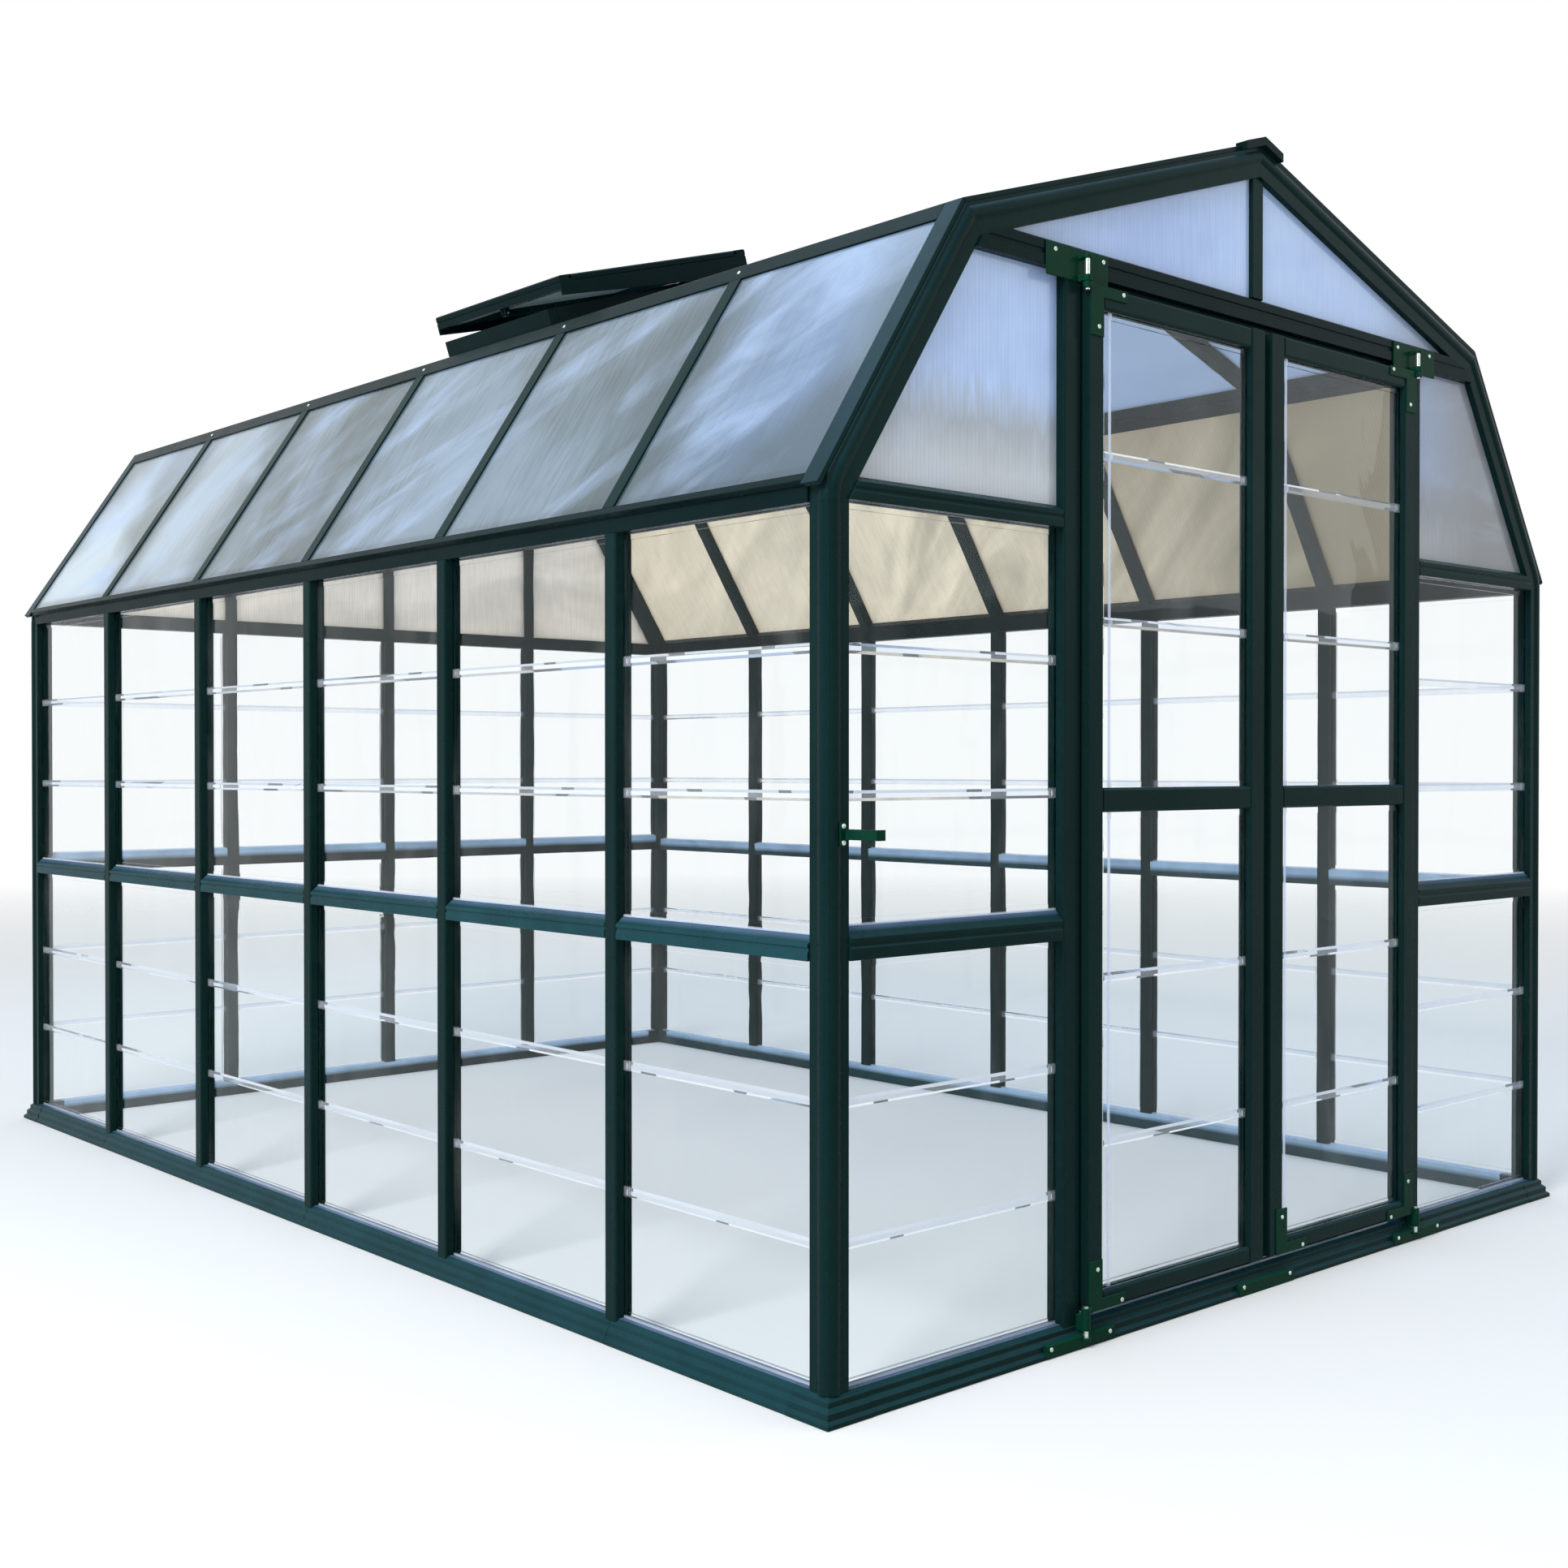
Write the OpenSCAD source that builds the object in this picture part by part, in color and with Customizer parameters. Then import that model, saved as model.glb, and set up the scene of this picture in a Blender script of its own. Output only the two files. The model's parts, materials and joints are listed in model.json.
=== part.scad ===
// Walk-in hobby greenhouse: gambrel roof, post and rail frame, double door in one gable, one roof vent.
// Millimetres, Z up, X across the gables, Y along the ridge. The doors are in the -Y gable and the vent
// is on the -X slope. The origin is on the ground in the middle of the whole footprint.

/* [Overall size] */
// Pitch of the wall posts, the width of one glazing bay
bay_pitch = 610; // [560:1:700]
// Number of glazing bays along each side
bays = 6; // [4:1:8]
// Width over the corner posts
width = 2500; // [2420:1:2700]
// Run of the steep lower slope, measured across the gable
break_run = 335; // [300:1:370]
// Rise of the steep lower slope
break_rise = 512; // [480:1:560]
// Rise of the shallow upper slope up to the ridge
ridge_rise = 303; // [270:1:340]
// Height of the break of the roof above the beam over the doors
head_room = 26; // [20:1:60]

/* [Frame members] */
// Width of the corner posts and depth of the gable rafters
corner_w = 52; // [48:1:58]
// Radius of the round bead along the corner posts and the gable rafters
corner_round = 20; // [16:1:22]
// Face width of the wall posts and of the rafters between the roof panels
post_w = 36; // [32:1:44]
// Depth of the posts, rails, purlins and rafters
member_d = 40; // [36:1:44]
// Height of the mid rails in the side walls
side_rail_h = 43; // [36:1:60]
// Height of the mid rails in the gables
gable_rail_h = 57; // [40:1:70]
// Height of the eave rails in the gables
eave_rail_h = 43; // [36:1:48]
// Width of a gable rafter from the roof line inwards
gable_rafter_w = 70; // [62:1:76]
// Height of the beam over the doors and of the beam in the back gable
head_beam_h = 56; // [48:1:60]
// Width of the upright between the two gable triangles
mullion_w = 42; // [36:1:60]
// Length of the purlin legs beside each bend of the roof
purlin_leg = 40; // [34:1:48]
// Overhang of the eave purlins outside the wall plane
eave_out = 14; // [12:1:20]
// Overhang of the lower ends of the gable edge caps
drip_out = 18; // [14:1:30]

/* [Base] */
// Height of the base rails
base_h = 48; // [46:1:60]
// How far the base skirt stands outside the wall plane
skirt_out = 16; // [13:1:20]
// Length of each leg of a corner foot
foot_leg = 90; // [70:1:130]

/* [Glazing] */
// Depth of the flange in front of the glazing slot
glaze_face = 20; // [18:0.5:22]
// Width of a glazing slot
glaze_slot = 6; // [5:0.5:8]
// Depth of a glazing slot
glaze_bite = 8; // [6:0.5:9]
// Thickness of the clear sheet between its rims
sheet_t = 2; // [1.5:0.25:3]
// Width of the rim round a clear panel
rim_w = 20; // [16:1:26]
// Height of a stiffening rib of a clear panel
rib_h = 18; // [12:1:26]
// Thickness of the lip over the edges of the roof panels
roof_lip = 4; // [3:0.5:5]

/* [Doors] */
// Distance from the middle of the gable to the inner face of a jamb
jamb_x = 595; // [560:1:640]
// Face width of a jamb
jamb_w = 50; // [44:1:60]
// Underside of the door leaves
leaf_z0 = 64; // [62:1:80]
// Height of a door leaf
leaf_h = 1948; // [1850:1:2050]
// Thickness of a door leaf
leaf_t = 30; // [26:1:32]
// How far the leaf face stands in front of the gable face
leaf_proud = 16; // [14:1:18]
// Face width of the hinge stiles
hinge_stile_w = 45; // [40:1:56]
// Face width of the meeting stiles
meet_stile_w = 49; // [42:1:60]
// Gap between the two meeting stiles, closed by the meeting strip
meet_gap = 26; // [20:1:34]
// Height of the middle rail of a leaf
leaf_mid_h = 47; // [40:1:60]
// Centre height of the middle rail of a leaf above the ground
leaf_mid_z = 1036; // [900:1:1150]

/* [Roof vent] */
// Bay that holds the vent, counted from the door gable
vent_bay = 3; // [1:1:4]
// Width of the vent flap along the ridge
flap_w = 535; // [480:1:540]
// Length of the vent flap up the slope
flap_l = 580; // [540:1:620]
// Thickness of the flap frame
flap_t = 30; // [26:1:34]
// Angle by which the flap stands open from the roof slope
flap_ajar = 1.94; // [1.5:0.02:3]
// Height of the kerb above the roof plane
kerb_h = 38; // [34:1:44]

/* [Hardware] */
// Radius of the door pivot pins
pivot_r = 5; // [4:0.5:6]
// Running clearance of every pin in its bore, measured on the radius
pin_play = 0.06; // [0.03:0.01:0.1]
// Radius of a screw head
screw_r = 4.5; // [3.5:0.25:5]
// Reach of the door holder in front of the corner post
holder_reach = 75; // [72:1:100]

/* [Hidden] */
$fn = 48;

frame_green = [0.13, 0.24, 0.22];
joint_green = [0.06, 0.26, 0.16];
clear_tint = [0.86, 0.93, 0.95, 0.3];
twin_tint = [0.72, 0.80, 0.92, 0.6];
screw_tint = [0.80, 0.86, 0.83];

// Overall geometry. The walls are as high as the door, its beam and the lower slope ask for
head_gap = 18;
head_z = leaf_z0 + leaf_h + head_gap;
eave_z = head_z + head_beam_h + head_room - break_rise;
hl = bays * bay_pitch / 2;
hw = width / 2;
low_slope = atan2(break_rise, break_run);
top_run = hw - break_run;
top_slope = atan2(ridge_rise, top_run);
break_z = eave_z + break_rise;
ridge_z = break_z + ridge_rise;
low_len = norm([break_run, break_rise]);
top_len = norm([top_run, ridge_rise]);
eave_pt = [hw, eave_z];
break_pt = [top_run, break_z];
ridge_pt = [0, ridge_z];
big = 4000;
eps = 1;

// Play and small features
glaze_play = 0.4;
edge_play = 1;
edge_bevel = 3;
seam = 0.2;
wall_bite = glaze_bite - edge_play;
post_web = post_w / 2 - glaze_bite;
gable_in = hl - corner_w;
side_in = hw - corner_w;

// Base profile: steps of the skirt, measured out from the wall plane and up from the ground
skirt_step = 7;
step_out = skirt_out - skirt_step;
skirt_z1 = 8;
skirt_z2 = 13;
skirt_z3 = 24;
skirt_z4 = 31;
face_out = 1;
foot_proud = 1.2;
top_bevel = 8;
base_shoulder = base_h - top_bevel;

// Walls
eave_drop = 57;
eave_bottom = eave_z - eave_drop;
side_rail_z = 793;
gable_rail_z = 801;
eave_rail_lift = 5;
eave_rail_z = eave_bottom + eave_rail_lift;
rail_groove = 2.5;
rail_ramp = 2;
mullion_recess = 11;
low_rib_1 = 290;
low_rib_2 = 530;
high_rib_1 = 1050;
high_rib_2 = 1300;
rib_out = 3;
rib_flat = 4;

// Roof
drip_t = drip_out / cos(low_slope);
eave_nose_t = eave_out / cos(low_slope);
eave_nose_d = 15;
eave_leg = -9;
eave_seat = 16;
slot_in = roof_lip + glaze_slot;
cap_d = slot_in;
cap_back = 8;
flange_in = 5;
bead_d = cap_d + seam + corner_round;
bead_edge = corner_round + sqrt(pow(corner_round, 2) - pow(corner_round - flange_in, 2));
knuckle_leg = 40;
knuckle_round = 100;
cap_out = 8;
cap_up = 7;
cap_half = 66;
cap_run = 22;

// Doors
head_slope = head_beam_h / 6;
leaf_gap = 5;
leaf_x1 = jamb_x - leaf_gap;
leaf_x0 = meet_gap / 2;
leaf_z1 = leaf_z0 + leaf_h;
leaf_y0 = leaf_proud - leaf_t;
leaf_low_rail_h = 35;
leaf_top_rail_h = 43;
leaf_slot_in = 12;
pivot_past = 5;
pivot_x = jamb_x + pivot_past;
pivot_proud = 2;
pivot_out = leaf_proud + pivot_proud;
lug_wall = 4;
lug_r = pivot_r + lug_wall;
lug_gap = 1;
lug_step = 1;
stop_w = 20;
stop_gap = 2;
stop_drop = 30;
meet_play = 2;

// Vent
flap_in = 40;
flap_y0 = -hl + (vent_bay - 1) * bay_pitch + flap_in;
flap_y1 = flap_y0 + flap_w;
flap_yc = (flap_y0 + flap_y1) / 2;
vent_t0 = 14;
vent_bar = 26;
kerb_side = 45;
kerb_wall = 20;
kerb_y0 = flap_y0 + kerb_side;
kerb_y1 = flap_y1 - kerb_side;
hatch_y0 = kerb_y0 + kerb_wall;
hatch_y1 = kerb_y1 - kerb_wall;
hatch_low = 4;
hatch_t0 = purlin_leg + hatch_low;
vent_lug_r = 7.5;
vent_pin_r = 3;
vent_pin_rise = 8;
vent_pin_up = kerb_h + vent_pin_rise;
vent_pin_in = 6;
vent_pin_t = vent_t0 + flap_l + vent_pin_in;
kerb_back = 4;
kerb_t1 = vent_pin_t + kerb_back;
hatch_t1 = kerb_t1 - kerb_wall;
flap_clear = 0.8;
flap_under = vent_lug_r + flap_clear;
flap_over = 14;
flap_groove = 1.5;
flap_groove_half = 2;
flap_bar = 35;
flap_lip = 4;
flap_skin = 5;
skirt_low = 14;
skirt_high = 34;
hinge_pitch = 360;
hinge_w = 12;
hinge_wing = 8;
hinge_slack = 0.5;
hinge_pin_tip = 1;
stay_l = 240;
stay_w = 12;
stay_t = 4;
stay_pin_r = 2.5;
stay_drop = 11;
stay_in = 22;
stay_lug_r = 6.5;
stay_holes = 5;
stay_hole_r = 3;
stay_hole_pitch = 36;

// Hardware
screw_h = 1.6;
screw_dome = 0.9;
screw_crown = 0.7;
plate_t = 3;
strap_t = 3;
holder_z = 986;
holder_in = 32;
holder_x = hw - holder_in;
holder_w = 14;
holder_h = 42;
holder_hook = 20;
tongue_h = 18;
holder_screw_dz = 14;
head_plate_t = 4;
head_plate_in = 75;
head_plate_x0 = jamb_x - head_plate_in;
head_plate_past = 105;
head_plate_x1 = jamb_x + head_plate_past;
head_screw_in = 15;
head_screw_past = 24;
head_screw_drop = 23.5;
base_plate_in = 83;
base_plate_x0 = jamb_x - base_plate_in;
base_plate_past = 117;
base_plate_x1 = jamb_x + base_plate_past;
base_screw_in = 15;
base_screw_past = 12;
base_plate_out = 2;
base_plate_z0 = 3;
base_plate_z1 = 24;
base_plate_z2 = 28;
base_screw_z = 18;
threshold_half = 100;
threshold_screw_x = 84;
threshold_screw_z = 18.5;
ring_h = 6;
pin_tip = 3;
low_ring_z = 14;
low_cup_z = 34;
high_cup_h = 12;
high_ring_drop = 30;
high_ring_z = head_z + head_beam_h - high_ring_drop;
bracket_long = 110;
bracket_short = 97;
bracket_w = 22;
bracket_upright_w = 40;
bracket_screw_x = 24;
bracket_screw_z = 8;
bracket_screw_in = 12;
bracket_screw_far = 18;
meet_in = 20;

// The footprint reaches further at the front, so the whole frame is set back by half the difference
front_reach = holder_reach + strap_t;
shift_y = (front_reach - skirt_out - foot_proud) / 2;

// Height of the line that runs parallel to the roof at depth d, above the point x
function low_line(x, d) = eave_z + (hw - x) * tan(low_slope) - d / cos(low_slope);
// The x at which that line reaches the height z
function low_line_x(z, d) = hw - (z - eave_z + d / cos(low_slope)) / tan(low_slope);
// Offset of the bend of the roof at depth d
function bend_off(d) = [
  -d * (cos(top_slope) - cos(low_slope)) / sin(low_slope - top_slope),
  -d * (sin(low_slope) - sin(top_slope)) / sin(low_slope - top_slope)
];
// Outline of everything that lies deeper than d under the roof planes
function gable_pts(d) =
  let (b = break_pt + bend_off(d), x0 = low_line_x(0, d), r = ridge_z - d / cos(top_slope))
  [[x0, 0], b, [0, r], [-b[0], b[1]], [-x0, 0]];
// Outer steps of the base skirt, e proud of the plain profile
function skirt_pts(e) = [
  [skirt_out + e, 0], [skirt_out + e, skirt_z1], [step_out + e, skirt_z2], [step_out + e, skirt_z3],
  [face_out + e, skirt_z4], [face_out + e, base_shoulder], [-top_bevel, base_h]
];
function post_y(i) = -hl + i * bay_pitch;
// Inner edges of the glazed opening of bay i
function bay_y0(i) = i == 0 ? -gable_in : post_y(i) + post_w / 2;
function bay_y1(i) = i == bays - 1 ? gable_in : post_y(i + 1) - post_w / 2;

module along_y(y0, y1) {
  translate([0, y1, 0])
    rotate([90, 0, 0])
      linear_extrude(y1 - y0)
        children();
}

module along_x(x0, x1) {
  translate([x0, 0, 0])
    rotate([90, 0, 90])
      linear_extrude(x1 - x0)
        children();
}

// Children drawn in (depth from the roof plane, y), swept up a slope from t0 to t1
module along_slope(p, slope, t0, t1) {
  translate([p[0], 0, p[1]])
    rotate([0, slope - 90, 0])
      translate([0, 0, t0])
        linear_extrude(t1 - t0)
          children();
}

// Children drawn in (distance up the slope, depth under the roof plane), seen along Y
module in_slope(p, slope) {
  translate(p)
    rotate(180 - slope)
      children();
}

module side(s) {
  if (s > 0)
    children();
  else
    mirror([1, 0, 0])
      children();
}

module end(e) {
  if (e > 0)
    children();
  else
    mirror([0, 1, 0])
      children();
}

module four_corners() {
  for (s = [-1, 1])
    for (e = [-1, 1])
      side(s)
        end(e)
          children();
}

// Sections

module rect_at(u, v, du, dv) {
  translate([u, v])
    square([du, dv]);
}

// Upright seen from above, with its outer face at front and a slot in each side
module post_section(w, front) {
  difference() {
    polygon([
      [-member_d, -w / 2], [front - edge_bevel, -w / 2], [front, -w / 2 + edge_bevel],
      [front, w / 2 - edge_bevel], [front - edge_bevel, w / 2], [-member_d, w / 2]
    ]);
    for (s = [-1, 1])
      scale([1, s])
        rect_at(-glaze_face - glaze_slot, w / 2 - glaze_bite, glaze_slot, glaze_bite + eps);
  }
}

// Rail seen end on: sloped top towards the sky, one shadow groove, slots above and below
module rail_section(h, slope_drop) {
  g = h / 10;
  difference() {
    polygon([
      [-member_d, -h / 2], [0, -h / 2], [0, -g - rail_ramp], [-rail_groove, -g], [-rail_groove, 0],
      [0, rail_ramp], [0, h / 2 - slope_drop], [-glaze_face + rail_ramp, h / 2], [-member_d, h / 2]
    ]);
    for (v = [-h / 2 - eps, h / 2 - glaze_bite])
      rect_at(-glaze_face - glaze_slot, v, glaze_slot, glaze_bite + eps);
  }
}

module base_section(e) {
  difference() {
    polygon(concat(skirt_pts(e), [[-member_d, base_h], [-member_d, 0]]));
    rect_at(-glaze_face - glaze_slot, base_h - glaze_bite, glaze_slot, glaze_bite + eps);
  }
}

module base_fill(e, depth) {
  polygon(concat(skirt_pts(e), [[-depth, base_h], [-depth, -eps], [skirt_out + e, -eps]]));
}

module rafter_section() {
  difference() {
    translate([-member_d, -post_w / 2])
      square([member_d, post_w]);
    for (s = [-1, 1])
      scale([1, s])
        rect_at(-slot_in, post_w / 2 - glaze_bite, glaze_slot, glaze_bite + eps);
  }
}

// Round bead along the outer face, with a flange set back behind it
module gable_rafter_section() {
  w = gable_rafter_w;
  r = corner_round;
  difference() {
    union() {
      rect_at(-w, gable_in, w - cap_d, corner_w - flange_in);
      translate([-bead_d, hl - r])
        circle(r);
    }
    rect_at(-w - eps, hl - glaze_face - glaze_slot, glaze_bite + eps, glaze_slot);
  }
}

module cap_section() {
  difference() {
    translate([-cap_d, gable_in])
      square([cap_d, corner_w - cap_back]);
    rect_at(-cap_d - eps, gable_in - eps, glaze_slot + eps, glaze_bite + eps);
  }
}

// Glazing slots of the two walls that meet at a corner, seen from above
module corner_slots() {
  rect_at(hw - glaze_face - glaze_slot, hl - corner_w - eps, glaze_slot, glaze_bite + eps);
  rect_at(hw - corner_w - eps, hl - glaze_face - glaze_slot, glaze_bite + eps, glaze_slot);
}

module corner_post_plan() {
  r = corner_round;
  difference() {
    union() {
      translate([side_in, gable_in])
        square(corner_w - flange_in);
      translate([hw - r, hl - r])
        circle(r);
    }
    corner_slots();
  }
}

// Clear panel between z0 and z1, drawn flat in (out from the wall, up), swept over the width w from 0
module clear_panel(w, z0, z1, ribs, bite, out) {
  rim_t = glaze_slot - glaze_play;
  mid = out - (rim_t + sheet_t) / 2;
  along_x(0, w)
    rect_at(mid, z0, sheet_t, z1 - z0);
  difference() {
    along_x(0, w)
      rect_at(out - rim_t, z0, rim_t, z1 - z0);
    translate([rim_w, out - 2 * rim_t, z0 + rim_w])
      cube([w - 2 * rim_w, 3 * rim_t, z1 - z0 - 2 * rim_w]);
  }
  for (z = ribs)
    along_x(rim_w, w - rim_w)
      polygon([
        [mid, z - rib_h / 2], [mid + sheet_t, z - rib_h / 2], [out + rib_out, z - rib_flat],
        [out + rib_out, z + rib_flat], [mid + sheet_t, z + rib_h / 2], [mid, z + rib_h / 2]
      ]);
}

module screw_head() {
  cylinder(h = screw_h, r = screw_r);
  translate([0, 0, screw_h])
    cylinder(h = screw_dome, r1 = screw_r, r2 = screw_r * screw_crown);
}

// Screw on a face that looks out of the door gable, at out from the gable face
module front_screw(x, z, out) {
  translate([x, -hl - out, z])
    rotate([90, 0, 0])
      screw_head();
}

// Base

// The side rails are butted under every second post, the end rails in the middle
module base_side(s) {
  last = bays % 2 == 0 ? bays + 1 : bays;
  color(frame_green)
    side(s)
      translate([hw, 0, 0])
        for (i = [1 : 2 : last]) {
          y0 = i == 1 ? foot_leg - hl : post_y(i - 2) + seam / 2;
          y1 = i > bays - 1 ? hl - foot_leg : post_y(i) - seam / 2;
          along_y(y0, y1)
            base_section(0);
        }
}

module base_end(e) {
  color(frame_green)
    end(e)
      translate([0, hl, 0])
        for (s = [-1, 1])
          side(s)
            along_x(seam / 2, hw - foot_leg)
              base_section(0);
}

module base_rail_left() { base_side(-1); }
module base_rail_right() { base_side(1); }
module base_rail_front() { base_end(-1); }
module base_rail_back() { base_end(1); }

module corner_foot() {
  reach = skirt_out + foot_proud + eps;
  difference() {
    union() {
      intersection() {
        translate([hw, 0, 0])
          along_y(hl - foot_leg, hl + reach)
            base_section(foot_proud);
        translate([0, hl, 0])
          along_x(hw - 2 * foot_leg, hw + reach)
            base_fill(foot_proud, 2 * foot_leg);
      }
      intersection() {
        translate([0, hl, 0])
          along_x(hw - foot_leg, hw + reach)
            base_section(foot_proud);
        translate([hw, 0, 0])
          along_y(hl - 2 * foot_leg, hl + reach)
            base_fill(foot_proud, 2 * foot_leg);
      }
    }
    translate([0, 0, base_h - glaze_bite])
      linear_extrude(glaze_bite + eps)
        corner_slots();
  }
}

module corner_feet() {
  color(frame_green)
    four_corners()
      corner_foot();
}

// Uprights and rails of the side walls

module corner_posts() {
  color(frame_green)
    four_corners()
      difference() {
        translate([0, 0, base_shoulder])
          linear_extrude(eave_bottom - seam - base_shoulder)
            corner_post_plan();
        translate([hw, 0, 0])
          along_y(hl - 2 * foot_leg, hl + 2 * eps)
            base_fill(foot_proud, 2 * foot_leg);
        translate([0, hl, 0])
          along_x(hw - 2 * foot_leg, hw + 2 * eps)
            base_fill(foot_proud, 2 * foot_leg);
      }
}

module wall_post() {
  difference() {
    translate([hw, 0, base_shoulder])
      linear_extrude(eave_bottom - base_shoulder)
        post_section(post_w, 0);
    translate([hw, 0, 0])
      along_y(-post_w, post_w)
        base_fill(0, member_d + eps);
  }
}

module wall_posts(s) {
  color(frame_green)
    side(s)
      for (i = [1 : bays - 1])
        translate([0, post_y(i), 0])
          wall_post();
}

module wall_posts_left() { wall_posts(-1); }
module wall_posts_right() { wall_posts(1); }

module mid_rails(s) {
  color(frame_green)
    side(s)
      translate([hw, 0, side_rail_z])
        for (i = [0 : bays - 1])
          along_y(bay_y0(i), bay_y1(i))
            rail_section(side_rail_h, side_rail_h / 3);
}

module mid_rails_left() { mid_rails(-1); }
module mid_rails_right() { mid_rails(1); }

// Purlins and ridge

// Purlin under the low edge of the roof panels, which lie on its seat and end in its nose
module eave_section() {
  difference() {
    union() {
      intersection() {
        translate([hw - member_d, eave_bottom])
          square([member_d, big]);
        in_slope(eave_pt, low_slope)
          rect_at(-big, slot_in, big + eave_seat, big);
      }
      in_slope(eave_pt, low_slope)
        rect_at(-eave_nose_t, 0, eave_nose_t + eave_leg, eave_nose_d);
    }
    in_slope(eave_pt, low_slope)
      rect_at(eave_leg - glaze_bite, roof_lip, glaze_bite + eps, glaze_slot);
    rect_at(hw - glaze_face - glaze_slot, eave_bottom - eps, glaze_slot, glaze_bite + eps);
  }
}

module break_section() {
  difference() {
    union() {
      in_slope(break_pt, low_slope)
        translate([-purlin_leg, 0])
          square([purlin_leg, member_d]);
      in_slope(break_pt, top_slope)
        square([purlin_leg, member_d]);
    }
    in_slope(break_pt, low_slope)
      rect_at(-purlin_leg - eps, roof_lip, glaze_bite + eps, glaze_slot);
    in_slope(break_pt, top_slope)
      rect_at(purlin_leg - glaze_bite, roof_lip, glaze_bite + eps, glaze_slot);
  }
}

module ridge_half() {
  difference() {
    intersection() {
      in_slope(ridge_pt, top_slope)
        translate([-purlin_leg, 0])
          square([2 * purlin_leg, member_d]);
      translate([0, ridge_z - big / 2])
        square([big, big]);
    }
    in_slope(ridge_pt, top_slope)
      rect_at(-purlin_leg - eps, roof_lip, glaze_bite + eps, glaze_slot);
  }
}

module eave_purlins() {
  color(frame_green)
    for (s = [-1, 1])
      side(s)
        along_y(-gable_in, gable_in)
          eave_section();
}

module break_purlins() {
  color(frame_green)
    for (s = [-1, 1])
      side(s)
        along_y(-gable_in, gable_in)
          break_section();
}

module ridge_beam() {
  color(frame_green)
    along_y(-gable_in, gable_in) {
      ridge_half();
      mirror([1, 0])
        ridge_half();
    }
}

// The low end of a rafter runs out over the seat of the eave purlin as a thin tongue
module roof_rafters(s) {
  color(frame_green)
    side(s)
      for (i = [1 : bays - 1])
        translate([0, post_y(i), 0]) {
          along_slope(eave_pt, low_slope, eave_leg, eave_seat)
            intersection() {
              rafter_section();
              rect_at(-slot_in, -post_w, slot_in, 2 * post_w);
            }
          along_slope(eave_pt, low_slope, eave_seat, low_len - purlin_leg)
            rafter_section();
          along_slope(break_pt, top_slope, purlin_leg, top_len - purlin_leg)
            rafter_section();
        }
}

module roof_rafters_left() { roof_rafters(-1); }
module roof_rafters_right() { roof_rafters(1); }

// Gable rafters, their edge caps and joints

// Half plane below or above the mitre through the bend of the roof, seen along Y
module below_bend() {
  translate(break_pt)
    rotate(180 - (low_slope + top_slope) / 2)
      translate([-big - seam / 2, -big])
        square([big, 2 * big]);
}

module above_bend() {
  translate(break_pt)
    rotate(180 - (low_slope + top_slope) / 2)
      translate([seam / 2, -big])
        square([big, 2 * big]);
}

module right_half() {
  translate([seam / 2, -big])
    square([big, 2 * big]);
}

module gable_lower(t0) {
  intersection() {
    along_slope(eave_pt, low_slope, t0, low_len + corner_w)
      children();
    along_y(0, big)
      below_bend();
  }
}

module gable_upper() {
  intersection() {
    along_slope(break_pt, top_slope, -corner_w, top_len + corner_w)
      children();
    along_y(0, big)
      intersection() {
        above_bend();
        right_half();
      }
  }
}

module gable_rafters(e) {
  color(frame_green)
    end(e)
      for (s = [-1, 1])
        side(s) {
          gable_lower(knuckle_leg)
            gable_rafter_section();
          gable_upper()
            gable_rafter_section();
        }
}

module gable_rafters_front() { gable_rafters(-1); }
module gable_rafters_back() { gable_rafters(1); }

module gable_edge_caps() {
  color(frame_green)
    four_corners() {
      gable_lower(-drip_t)
        cap_section();
      gable_upper()
        cap_section();
    }
}

// Flanges of the bent joint between a corner post and a gable rafter, seen along Y
module knuckle_outline() {
  difference() {
    intersection() {
      union() {
        translate([side_in, eave_bottom])
          square([corner_w, corner_w * 2]);
        in_slope(eave_pt, low_slope)
          translate([-knuckle_leg, 0])
            square([2 * knuckle_leg, gable_rafter_w]);
      }
      in_slope(eave_pt, low_slope)
        rect_at(-big, cap_d, big + knuckle_leg, big);
      translate([0, eave_bottom])
        square([hw - flange_in, big]);
    }
    difference() {
      translate([0, eave_bottom - big])
        square([side_in, 2 * big]);
      in_slope(eave_pt, low_slope)
        translate([-big, 0])
          square([2 * big, gable_rafter_w]);
    }
  }
}

// Bead that bends from the corner post into the gable rafter
module knuckle_bead() {
  r = corner_round;
  turn = 90 - low_slope;
  axis_x = hw - r;
  bend_z = low_line(axis_x, bead_d);
  reach = knuckle_round * tan(turn / 2);
  bend_t = (bend_z - eave_z + bead_d * cos(low_slope)) / sin(low_slope);
  translate([axis_x, hl - r, eave_bottom])
    cylinder(h = bend_z - reach - eave_bottom, r = r);
  translate([axis_x - knuckle_round, hl - r, bend_z - reach])
    rotate([90, 0, 0])
      rotate_extrude(angle = turn)
        translate([knuckle_round, 0])
          circle(r);
  along_slope(eave_pt, low_slope, bend_t + reach, knuckle_leg)
    translate([-bead_d, hl - r])
      circle(r);
}

module knuckle() {
  difference() {
    union() {
      along_y(gable_in, hl - flange_in)
        knuckle_outline();
      knuckle_bead();
    }
    // Glazing slots that carry on from the post and the rafter
    translate([0, 0, eave_bottom - eps])
      linear_extrude(glaze_bite + eps)
        corner_slots();
    translate([0, hl - glaze_face - glaze_slot, 0])
      along_y(0, glaze_slot)
        difference() {
          translate([0, eave_bottom - eps])
            square([side_in + glaze_bite, big]);
          in_slope(eave_pt, low_slope)
            translate([-big, 0])
              square([2 * big, gable_rafter_w - glaze_bite]);
        }
  }
}

module eave_knuckles() {
  color(frame_green)
    four_corners()
      knuckle();
}

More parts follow.
